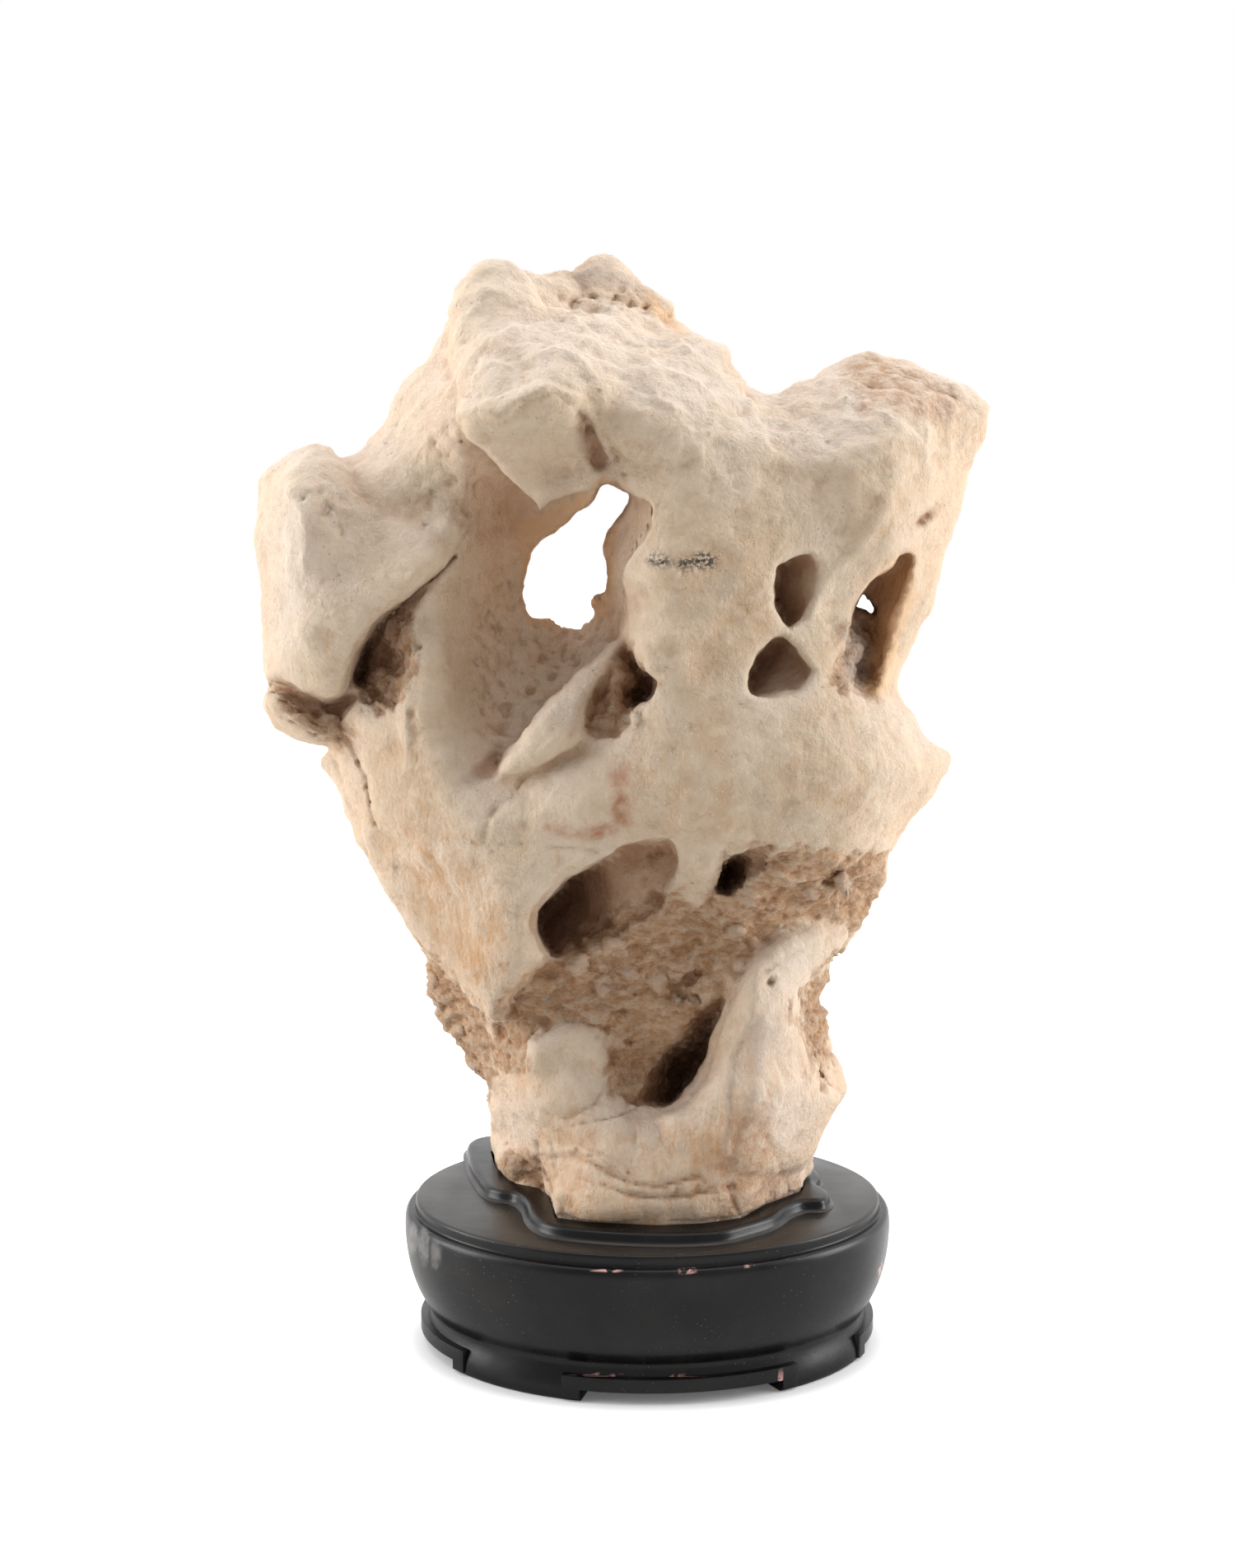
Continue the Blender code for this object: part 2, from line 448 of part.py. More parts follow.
def sighted_body(name, outline, front_sheet, back_sheet, collection):
    """A closed body with this outline as sighted, between two sheets.

    A sheet gives depths from u, v and the distance to the outline.
    """
    corners = np.array(outline, float)
    low = corners.min(axis=0) - SIGHT_STEP
    high = corners.max(axis=0) + SIGHT_STEP
    cells = np.ceil((high - low) / SIGHT_STEP).astype(int)
    bm = bmesh.new()
    bmesh.ops.create_grid(bm, x_segments=int(cells[0]), y_segments=int(cells[1]), size=0.5)
    for vert in bm.verts:
        vert.co.x = low[0] + (vert.co.x + 0.5) * (high[0] - low[0])
        vert.co.y = low[1] + (vert.co.y + 0.5) * (high[1] - low[1])
    centres = np.array([face.calc_center_median()[:2] for face in bm.faces])
    kept = is_inside(centres, outline)
    outside = [face for face, keep in zip(bm.faces, kept) if not keep]
    bmesh.ops.delete(bm, geom=outside, context='FACES')

    rim = [vert for vert in bm.verts if vert.is_boundary]
    _, nearest = edge_distance(np.array([vert.co[:2] for vert in rim]), outline)
    for vert, place in zip(rim, nearest):
        vert.co.x, vert.co.y = place
    front = list(bm.verts)
    extruded = bmesh.ops.extrude_face_region(bm, geom=list(bm.faces), use_keep_orig=True)
    back = [item for item in extruded["geom"] if isinstance(item, bmesh.types.BMVert)]

    for verts, sheet in ((front, front_sheet), (back, back_sheet)):
        flat = np.array([vert.co[:2] for vert in verts])
        distance, _ = edge_distance(flat, outline)
        u, v = flat.T
        for vert, place in zip(verts, sight_to_world(u, v, sheet(u, v, distance))):
            vert.co = place
    bmesh.ops.remove_doubles(bm, verts=bm.verts, dist=SLIVER)
    bmesh.ops.recalc_face_normals(bm, faces=bm.faces)
    mesh = bpy.data.meshes.new(name)
    bm.to_mesh(mesh)
    bm.free()
    return add_object(name, mesh, collection)


def roundness(distance, edge):
    """0 at the outline, 1 from edge inwards, as a quarter circle."""
    inward = np.clip(distance / edge, 0.0, 1.0)
    return np.sqrt(1.0 - (1.0 - inward) ** 2)


def lump(name, outline, front, back, edge, collection):
    """A rounded body: its two sheets meet at the outline."""
    def sheet(side):
        def depths(u, v, distance):
            middle = (front(u, v) + back(u, v)) / 2
            return middle + (side(u, v) - middle) * roundness(distance, edge)
        return depths
    return sighted_body(name, outline, sheet(front), sheet(back), collection)


def hollow(name, outline, floor, wall, edge, collection):
    """A cutter from in front of the stone down to a floor; its walls round off over the last millimetres."""
    def mouth(u, v, distance):
        return level(IN_FRONT)(u, v)

    def bottom(u, v, distance):
        return floor(u, v) - wall * MM * (1.0 - roundness(distance, edge))
    return as_guide(sighted_body(name, outline, mouth, bottom, collection))


def back_hollow(name, outline, floor, wall, edge, collection):
    """The same from behind the stone."""
    def bottom(u, v, distance):
        return level(floor)(u, v) + wall * MM * (1.0 - roundness(distance, edge))

    def mouth(u, v, distance):
        return level(BEHIND)(u, v)
    return as_guide(sighted_body(name, outline, bottom, mouth, collection))


def tunnel(name, outline, start, collection):
    """A cutter with straight sides from a depth out through the back."""
    def near(u, v, distance):
        return level(start)(u, v)

    def far(u, v, distance):
        return level(BEHIND)(u, v)
    return as_guide(sighted_body(name, outline, near, far, collection))


# The stone

def stone_lumps(collection):
    """Overlapping forms that grow together into the stone."""
    forms = [
        # Name, outline, front, back and how many pixels the border is rounded over
        ("body", SILHOUETTE, relief(BODY_FRONT), relief(BODY_BACK), 62),
        ("dome", DOME, relief(DOME_FRONT), level(12), 60),
        ("tooth", TOOTH, relief(TOOTH_FRONT), level(-30), 10),
        ("left_lobe", LEFT_LOBE, relief(LOBE_FRONT), level(4), 24),
        ("lower_lobe", LOWER_LOBE, level(-20), level(8), 24),
        ("blade", BLADE, relief(BLADE_FRONT), level(-14), 12),
        ("skirt", SKIRT, relief(SKIRT_FRONT), level(-10), 16),
        ("boss", BOSS, level(-30), level(-12), 20),
        ("flange", FLANGE, relief(FLANGE_FRONT), level(-4), 22)]
    forms += [(f"back_ridge_{number}", rounded(outline), level(0), level(depth), BACK_ROUNDING)
              for number, (outline, depth) in enumerate(BACK_RIDGES, 1)]
    return [lump(*form, collection) for form in forms]


def stone_hollows(collection):
    """Everything that weather took out of the stone."""
    hollows = [
        # Name, outline, floor, millimetres that the wall's foot stands in and pixels it does so over
        ("window", WINDOW, relief(WINDOW_FLOOR), 14, 16),
        ("hole_flank", HOLE_FLANK, relief(FLANK_FLOOR), 2, 8),
        ("lobe_slit", LOBE_SLIT, relief(SLIT_FLOOR), 8, 10),
        ("lobe_crevice", LOBE_CREVICE, level(-4), 10, 10),
        ("basin_notch", BASIN_NOTCH, relief(NOTCH_FLOOR), 4, 10),
        ("blade_pocket", BLADE_POCKET, relief(BLADE_FLOOR), 6, 12),
        ("pocket_a", POCKET_A, relief(FLOOR_A), 6, 14),
        ("pocket_b", POCKET_B, relief(FLOOR_B), 6, 14),
        ("pocket_c", POCKET_C, relief(FLOOR_C), 8, 20),
        ("pocket_d", POCKET_D, relief(FLOOR_D), 6, 12),
        ("pocket_e", POCKET_E, relief(FLOOR_E), 8, 18),
        ("tooth_pocket", TOOTH_POCKET, relief(TOOTH_FLOOR), 4, 10),
        ("arm_slit", ARM_SLIT, level(-14), 8, 8)]
    return [
        tunnel("main_hole", MAIN_HOLE, IN_FRONT, collection),
        tunnel("window_light", WINDOW_LIGHT, WINDOW_LIGHT_START, collection),
        *[hollow(*form, collection) for form in hollows],
        *[back_hollow(f"back_hollow_{number}", rounded(outline), floor, BACK_WALL, BACK_ROUNDING, collection)
          for number, (outline, floor) in enumerate(BACK_HOLLOWS, 1)]]


def grow_together(name, lumps, collection):
    """One closed body from overlapping ones."""
    bm = bmesh.new()
    for piece in lumps:
        bm.from_mesh(piece.data)
        bpy.data.objects.remove(piece)
    mesh = bpy.data.meshes.new(name)
    bm.to_mesh(mesh)
    bm.free()
    stone = add_object(name, mesh, collection)
    fuse(stone, FUSE_SIZE)
    return stone


def fuse(thing, size):
    step = thing.modifiers.new("fuse", 'REMESH')
    step.mode = 'VOXEL'
    step.voxel_size = size
    apply_modifiers(thing)


def weather(stone):
    """Softened edges and a rough grain."""
    fuse(stone, WEATHER_SIZE)
    soften = stone.modifiers.new("soften", 'SMOOTH')
    soften.factor = WEATHER_SOFTNESS
    soften.iterations = WEATHER_PASSES
    back = stone.vertex_groups.new(name="back")
    for vert in stone.data.vertices:
        share = (vert.co.y - SWELL_START) / (SWELL_FULL - SWELL_START)
        back.add([vert.index], min(max(share, 0.0), 1.0), 'REPLACE')
    displace(stone, "swells", SWELL_SIZE, SWELL_DEPTH, "back")
    displace(stone, "grain", GRAIN_SIZE, GRAIN_DEPTH, "")
    apply_modifiers(stone)


def displace(thing, name, size, depth, group):
    """Push the surface in and out by up to depth, in clouds of this size."""
    clouds = bpy.data.textures.new(name, 'CLOUDS')
    clouds.noise_scale = size
    clouds.noise_depth = 2
    step = thing.modifiers.new(name, 'DISPLACE')
    step.texture = clouds
    step.texture_coords = 'GLOBAL'
    step.strength = depth * 2
    step.mid_level = 0.5
    step.vertex_group = group


def thin_out(stone, triangles):
    """Fewer, larger facets."""
    facets = stone.modifiers.new("facets", 'TRIANGULATE')
    facets.min_vertices = 4
    apply_modifiers(stone)
    thin = stone.modifiers.new("thin", 'DECIMATE')
    thin.ratio = triangles / len(stone.data.polygons)
    apply_modifiers(stone)


def keep_largest_piece(thing):
    """Drop crumbs that the cuts left loose."""
    bm = bmesh.new()
    bm.from_mesh(thing.data)
    waiting = set(bm.verts)
    pieces = []
    while waiting:
        piece = set()
        edge = [waiting.pop()]
        while edge:
            vert = edge.pop()
            piece.add(vert)
            near = {link.other_vert(vert) for link in vert.link_edges} & waiting
            waiting -= near
            edge.extend(near)
        pieces.append(piece)
    largest = max(pieces, key=len)
    crumbs = [vert for piece in pieces if piece is not largest for vert in piece]
    bmesh.ops.delete(bm, geom=crumbs, context='VERTS')
    bm.to_mesh(thing.data)
    bm.free()


def make_foot(stone, cutters):
    """Trim what stands in the socket to the foot's outline, with a flat underside."""
    foot = [(x * MM, y * MM) for x, y in FOOT]
    square = [(-AROUND_FOOT, -AROUND_FOOT), (AROUND_FOOT, -AROUND_FOOT), (AROUND_FOOT, AROUND_FOOT),
              (-AROUND_FOOT, AROUND_FOOT)]
    around = plate("around_foot", square, UNDER_EVERYTHING, FOOT_TOP, cutters)
    core = plate("foot_core", foot, FOOT_BOTTOM, FOOT_TOP + FOOT_INTO_STONE, cutters)
    combine(around, as_guide(core), 'DIFFERENCE')
    combine(stone, as_guide(around), 'DIFFERENCE')


def make_stone(collection, cutters):
    foot = [(x * MM, y * MM) for x, y in FOOT]
    lumps = stone_lumps(collection)
    lumps.append(plate("foot", foot, FOOT_BOTTOM - FOOT_ALLOWANCE, FOOT_TOP + FOOT_INTO_STONE, collection))
    stone = grow_together("stone", lumps, collection)
    for cutter in stone_hollows(cutters):
        combine(stone, cutter, 'DIFFERENCE')
    weather(stone)
    keep_largest_piece(stone)
    thin_out(stone, STONE_TRIANGLES)
    make_foot(stone, cutters)
    keep_largest_piece(stone)
    stone.data.materials.clear()
    stone.data.materials.append(principled("pale_limestone", *LIMESTONE))
    return stone


# The stand

def oval_point(angle, outset):
    """A place on the oval, at an angle in degrees from its front, outset from the plateau's edge."""
    turn = math.radians(angle)
    return (STAND_CENTRE_X + (PLATEAU_HALF_LENGTH + outset) * math.sin(turn),
            -(PLATEAU_HALF_DEPTH + outset) * math.cos(turn))


def plate(name, outline, low, high, collection):
    """A flat outline in plan, given thickness from low to high."""
    curve = bpy.data.curves.new(name, 'CURVE')
    curve.dimensions = '2D'
    curve.fill_mode = 'BOTH'
    curve.extrude = (high - low) / 2
    spline = curve.splines.new('POLY')
    spline.points.add(len(outline) - 1)
    for point, (x, y) in zip(spline.points, outline):
        point.co = (x, y, 0.0, 1.0)
    spline.use_cyclic_u = True
    drawn = add_object(name + "_outline", curve, collection)
    drawn.location.z = (low + high) / 2
    shown = bpy.context.evaluated_depsgraph_get()
    mesh = bpy.data.meshes.new_from_object(drawn.evaluated_get(shown))
    mesh.name = name
    bm = bmesh.new()
    bm.from_mesh(mesh)
    bmesh.ops.remove_doubles(bm, verts=bm.verts, dist=SLIVER)
    bmesh.ops.translate(bm, vec=(0.0, 0.0, (low + high) / 2), verts=bm.verts)
    bmesh.ops.recalc_face_normals(bm, faces=bm.faces)
    bm.to_mesh(mesh)
    bm.free()
    bpy.data.objects.remove(drawn)
    return add_object(name, mesh, collection)


def stand_drum(collection):
    """The oval bowl: its section carried round, closed with flat caps."""
    bm = bmesh.new()
    ring = bmesh.ops.create_circle(bm, segments=OVAL_STEPS, radius=1.0)["verts"]
    for number, (outset, height) in enumerate(STAND_SECTION):
        if number:
            edges = {edge for vert in ring for edge in vert.link_edges
                     if edge.verts[0] in ring and edge.verts[1] in ring}
            extruded = bmesh.ops.extrude_edge_only(bm, edges=list(edges))
            partner = {}
            for item in extruded["geom"]:
                if isinstance(item, bmesh.types.BMEdge):
                    continue
                if isinstance(item, bmesh.types.BMVert):
                    below = next(edge.other_vert(item) for edge in item.link_edges
                                 if edge.other_vert(item) in ring)
                    partner[below] = item
            ring = [partner[vert] for vert in ring]
        for step, vert in enumerate(ring):
            x, y = oval_point(360.0 * step / OVAL_STEPS, outset * MM)
            vert.co = (x, y, height * MM)
    bmesh.ops.holes_fill(bm, edges=[edge for edge in bm.edges if edge.is_boundary], sides=0)
    bmesh.ops.recalc_face_normals(bm, faces=bm.faces)
    mesh = bpy.data.meshes.new("stand")
    bm.to_mesh(mesh)
    bm.free()
    return add_object("stand", mesh, collection)


def oval_strip(name, first, last, inner, outer, low, high, collection):
    """Part of an oval ring, between two angles, two outsets and two heights."""
    steps = max(2, round(abs(last - first) / PANEL_STEP))
    angles = [first + (last - first) * step / steps for step in range(steps + 1)]
    outline = [oval_point(angle, outer) for angle in angles]
    outline += [oval_point(angle, inner) for angle in reversed(angles)]
    return plate(name, outline, low, high, collection)


def soften_edges(thing, width, segments):
    step = thing.modifiers.new("rounded", 'BEVEL')
    step.width = width
    step.segments = segments
    step.limit_method = 'ANGLE'
    step.angle_limit = BEVEL_ANGLE
    apply_modifiers(thing)


def grown_outline(points, outset):
    """The plan outline in metres, moved outwards by outset."""
    count = len(points)
    moved = []
    for number in range(count):
        before = Vector(points[number - 1])
        here = Vector(points[number])
        after = Vector(points[(number + 1) % count])
        along = (after - before).normalized()
        moved.append(tuple(here * MM + Vector((along.y, -along.x)) * outset))
    return moved


def make_stand(collection, cutters):
    """One carved piece: drum, collar round the stone's foot, four panels and four feet."""
    stand = stand_drum(collection)
    collar = plate("collar", [(x * MM, y * MM) for x, y in COLLAR], COLLAR_ROOT,
                   PLATEAU_HEIGHT + COLLAR_RISE, cutters)
    soften_edges(collar, COLLAR_ROUNDING, segments=2)
    combine(stand, as_guide(collar), 'UNION')
    for number, (first, last) in enumerate(PANELS, 1):
        panel = oval_strip(f"panel_{number}", first, last, PANEL_INSIDE, PANEL_OUTSIDE, PANEL_HIDDEN_FOOT,
                           PANEL_TOP, cutters)
        combine(stand, as_guide(panel), 'UNION')
    for number, (first, last) in enumerate(PANELS, 1):
        arch = oval_strip(f"arch_{number}", first + ARCH_START, last - ARCH_START, ARCH_INSET, BEYOND_DRUM,
                          BELOW_GROUND, PANEL_UNDERSIDE, cutters)
        combine(stand, as_guide(arch), 'DIFFERENCE')
    recess = plate("recess", [oval_point(angle, RECESS_INSET) for angle in range(0, 360, RECESS_STEP)],
                   BELOW_GROUND, UNDERSIDE_RECESS, cutters)
    combine(stand, as_guide(recess), 'DIFFERENCE')
    socket = plate("socket", grown_outline(FOOT, FOOT_CLEARANCE), SOCKET_FLOOR, ABOVE_STAND, cutters)
    combine(stand, as_guide(socket), 'DIFFERENCE')
    stand.data.materials.clear()
    stand.data.materials.append(principled("black_lacquer", *LACQUER))
    stand.data.shade_smooth()
    stand.data.set_sharp_from_angle(angle=SHARP_ANGLE)
    return stand


def centre_over_origin(things):
    """Move the pieces together so that the origin is under the middle of their common box."""
    corners = np.array([vert.co for thing in things for vert in thing.data.vertices])
    middle = (corners.min(axis=0) + corners.max(axis=0)) / 2
    for thing in things:
        thing.data.transform(Matrix.Translation((-middle[0], -middle[1], 0.0)))


def main():
    remove_everything()
    collection = new_collection("scholar_stone")
    cutters = new_collection("cutters")
    stand = make_stand(collection, cutters)
    stone = make_stone(collection, cutters)
    centre_over_origin([stand, stone])


main()
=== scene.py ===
import math

import bmesh
import bpy
import numpy as np
from mathutils import Euler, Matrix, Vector, noise


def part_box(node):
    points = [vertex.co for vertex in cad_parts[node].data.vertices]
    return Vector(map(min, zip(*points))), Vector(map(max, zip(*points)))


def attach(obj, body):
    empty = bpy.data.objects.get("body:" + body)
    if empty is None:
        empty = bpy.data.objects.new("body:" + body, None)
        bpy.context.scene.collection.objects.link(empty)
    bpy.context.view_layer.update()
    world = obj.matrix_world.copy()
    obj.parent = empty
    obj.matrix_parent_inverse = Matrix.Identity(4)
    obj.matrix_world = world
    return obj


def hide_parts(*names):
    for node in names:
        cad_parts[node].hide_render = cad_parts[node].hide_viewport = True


# The looks of a scholar stone in its lacquered stand.
#
# The stone's forms are drawn as seen from the camera. A sight (u, v) is a place in the 1500 x 1904 view,
# u to the right and v down. Each form has an outline of sights and a relief of spot depths, millimetres
# along Y, where less is nearer to the camera.

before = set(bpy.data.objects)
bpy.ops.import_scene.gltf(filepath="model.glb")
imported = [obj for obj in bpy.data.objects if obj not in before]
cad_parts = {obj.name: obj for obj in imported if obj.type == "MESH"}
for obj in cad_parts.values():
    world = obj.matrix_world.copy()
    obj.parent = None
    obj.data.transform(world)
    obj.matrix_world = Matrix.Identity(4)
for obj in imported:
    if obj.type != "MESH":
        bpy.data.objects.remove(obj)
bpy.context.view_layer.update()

MM = 0.001

# The camera: the sighting point that the solids were drawn from
VIEW_WIDTH = 1500
VIEW_HEIGHT = 1904
SIGHT_SCALE = 2408.0
SIGHT_PITCH = math.radians(8.18)
SIGHT_MIDDLE = (750.0, 952.0)
SENSOR = 36.0

# The stand's oval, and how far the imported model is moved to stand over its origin
STAND_CENTRE_X = 0.0109
PLATEAU_HALF_LENGTH = 0.0849
PLATEAU_HALF_DEPTH = 0.0632
PLATEAU_HEIGHT = 0.0541
COLLAR_RISE = 0.0043
SOCKET_FLOOR = PLATEAU_HEIGHT - 0.0042
stand_low, stand_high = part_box("stand")
SHIFT_X = (stand_low.x + stand_high.x) / 2 - STAND_CENTRE_X
SIGHT_POINT = Vector((SHIFT_X, -0.700, 0.3059))

# How finely the stone is worked
SIGHT_STEP = 4.5
FUSE_SIZE = 0.0014
SURFACE_SIZE = 0.0012
STONE_TRIANGLES = 192000
IN_FRONT = -110.0
BEHIND = 110.0
FOOT_BOTTOM = SOCKET_FLOOR + 0.0003

SILHOUETTE = [
    (618, 1440), (604, 1424), (600, 1400), (597, 1380), (592, 1335), (585, 1320), (564, 1290), (555, 1266),
    (528, 1231), (519, 1217), (518, 1207), (521, 1186), (514, 1152), (500, 1135), (488, 1112), (473, 1090),
    (449, 1045), (431, 1018), (421, 990), (407, 952), (394, 931), (388, 925), (399, 916), (404, 904),
    (390, 906), (363, 900), (335, 882), (321, 859), (323, 838), (328, 828), (323, 826), (316, 755), (319, 719),
    (312, 687), (308, 658), (314, 616), (318, 577), (331, 565), (355, 547), (381, 539), (397, 544), (412, 557),
    (426, 555), (442, 549), (458, 529), (470, 510), (476, 490), (490, 462), (507, 448), (519, 444), (523, 423),
    (537, 405), (549, 387), (552, 355), (565, 336), (580, 320), (596, 314), (616, 318), (636, 330), (662, 338),
    (695, 328), (711, 316), (727, 310), (747, 318), (766, 328), (782, 347), (802, 367), (812, 383), (830, 404),
    (845, 413), (865, 417), (877, 414), (886, 423), (887, 446), (896, 460), (913, 476), (933, 480), (949, 476),
    (972, 463), (992, 461), (1012, 448), (1039, 435), (1055, 431), (1075, 435), (1118, 446), (1155, 463),
    (1175, 468), (1191, 483), (1202, 496), (1198, 523), (1181, 552), (1175, 579), (1168, 605), (1158, 642),
    (1148, 668), (1142, 698), (1132, 741), (1115, 765), (1102, 791), (1090, 824), (1087, 841), (1095, 854),
    (1110, 874), (1118, 892), (1134, 908), (1160, 915), (1154, 928), (1141, 951), (1131, 970), (1105, 993),
    (1087, 1019), (1079, 1045), (1078, 1068), (1066, 1084), (1056, 1097), (1047, 1120), (1037, 1143),
    (1021, 1157), (1008, 1165), (1004, 1178), (995, 1211), (1001, 1231), (1008, 1250), (1014, 1276),
    (1026, 1305), (1029, 1318), (1022, 1341), (1014, 1348), (990, 1395), (982, 1427), (976, 1455), (940, 1500),
    (900, 1520), (800, 1528), (700, 1522), (660, 1500), (650, 1465)]

DOME = [
    (548, 480), (549, 387), (552, 355), (565, 336), (580, 320), (596, 314), (616, 318), (640, 340), (660, 372),
    (700, 386), (745, 388), (775, 400), (800, 412), (830, 404), (865, 417), (886, 423), (887, 446), (905, 470),
    (930, 520), (900, 600), (800, 600), (740, 560), (690, 530), (600, 540), (556, 520)]
TOOTH = [
    (552, 502), (560, 482), (590, 464), (625, 450), (662, 442), (700, 448), (722, 480), (735, 520), (742, 555),
    (735, 578), (728, 588), (715, 597), (690, 600), (665, 610), (656, 628), (650, 606), (630, 590), (600, 560),
    (570, 532)]
LEFT_LOBE = [
    (323, 826), (316, 755), (319, 719), (312, 687), (308, 658), (314, 616), (318, 577), (331, 565), (355, 547),
    (381, 539), (397, 544), (418, 562), (440, 590), (480, 610), (530, 640), (552, 668), (548, 690), (520, 710),
    (490, 733), (455, 758), (436, 790), (424, 826), (418, 842), (395, 850), (372, 842), (345, 828)]
LOWER_LOBE = [
    (323, 838), (345, 842), (375, 858), (400, 868), (414, 880), (404, 904), (390, 906), (363, 900), (335, 882),
    (321, 859)]
BLADE = [
    (598, 948), (604, 928), (630, 900), (650, 872), (672, 848), (700, 818), (735, 792), (758, 780), (768, 792),
    (748, 812), (722, 842), (712, 872), (720, 900), (690, 915), (640, 940)]
SKIRT = [
    (514, 1152), (500, 1135), (473, 1090), (449, 1045), (440, 1000), (520, 980), (640, 1000), (735, 1030),
    (690, 1062), (658, 1092), (646, 1112), (649, 1132), (660, 1150), (668, 1163), (640, 1190), (620, 1212),
    (608, 1242), (596, 1238), (560, 1190), (535, 1166)]
BOSS = [
    (637, 1298), (640, 1266), (656, 1248), (690, 1242), (732, 1250), (744, 1280), (736, 1312), (716, 1340),
    (690, 1354), (660, 1338)]
FLANGE = [
    (800, 1420), (800, 1352), (836, 1342), (858, 1310), (870, 1268), (882, 1228), (896, 1192), (918, 1160),
    (950, 1132), (1000, 1118), (1036, 1132), (1018, 1154), (996, 1176), (972, 1204), (968, 1240), (980, 1276),
    (998, 1312), (1022, 1330), (1014, 1348), (990, 1395), (976, 1420), (900, 1440)]

MAIN_HOLE = [
    (728, 585), (748, 582), (769, 600), (758, 627), (741, 644), (733, 668), (741, 685), (740, 720), (719, 726),
    (699, 740), (684, 747), (652, 754), (639, 746), (633, 733), (634, 705), (645, 668), (673, 644), (699, 623),
    (717, 610)]
LOBE_SLIT = [
    (554, 676), (530, 698), (504, 716), (480, 738), (456, 757), (437, 790), (425, 828), (444, 838), (482, 868),
    (494, 830), (499, 780), (503, 742), (522, 716), (544, 698)]
LOBE_CREVICE = [
    (322, 824), (345, 829), (372, 843), (395, 851), (420, 841), (440, 842), (422, 868), (408, 892), (410, 876),
    (398, 866), (372, 858), (345, 843), (322, 834)]
BASIN_NOTCH = [(544, 962), (556, 946), (584, 926), (604, 900), (616, 918), (602, 940), (574, 964)]
BLADE_POCKET = [
    (760, 772), (769, 790), (779, 809), (806, 828), (798, 838), (792, 854), (776, 857), (766, 866), (768, 880),
    (752, 896), (736, 901), (718, 896), (711, 878), (720, 844), (734, 816), (746, 792)]
WINDOW = [
    (1091, 671), (1101, 668), (1110, 674), (1108, 692), (1101, 715), (1091, 742), (1080, 800), (1070, 839),
    (1063, 849), (1049, 847), (1030, 831), (1020, 816), (1016, 799), (1022, 784), (1032, 753), (1034, 734),
    (1045, 719), (1063, 698), (1080, 690)]
WINDOW_LIGHT = [(1048, 714), (1060, 728), (1068, 752), (1056, 746), (1046, 740), (1034, 746), (1036, 730)]
HOLE_FLANK = [
    (764, 598), (796, 610), (792, 640), (778, 665), (762, 690), (757, 706), (765, 730), (760, 762), (752, 784),
    (728, 780), (734, 740), (738, 720), (738, 685), (730, 668), (738, 644), (752, 627)]
POCKET_A = [(939, 703), (941, 686), (960, 676), (985, 668), (1000, 690), (990, 730), (972, 756), (958, 767),
            (947, 752), (938, 732), (936, 715)]
POCKET_B = [
    (955, 773), (942, 772), (931, 778), (919, 793), (906, 820), (904, 834), (911, 847), (930, 849), (968, 848),
    (984, 832), (990, 816), (976, 795), (966, 782)]
POCKET_C = [
    (648, 1110), (650, 1130), (660, 1150), (672, 1163), (700, 1158), (750, 1142), (790, 1120), (808, 1092),
    (824, 1052), (826, 1032), (815, 1018), (780, 1020), (755, 1025), (730, 1043), (690, 1064), (660, 1094)]
POCKET_D = [(866, 1080), (872, 1056), (890, 1038), (915, 1028), (932, 1034), (924, 1056), (902, 1078), (880, 1088)]
POCKET_E = [
    (772, 1338), (800, 1346), (822, 1340), (846, 1310), (858, 1288), (870, 1244), (886, 1206), (868, 1212),
    (840, 1240), (812, 1268), (796, 1296)]
TOOTH_POCKET = [(692, 496), (706, 492), (722, 516), (736, 545), (742, 566), (726, 574), (708, 560), (698, 530)]
ARM_SLIT = [(1143, 614), (1136, 628), (1116, 642), (1106, 641), (1114, 628), (1132, 616)]

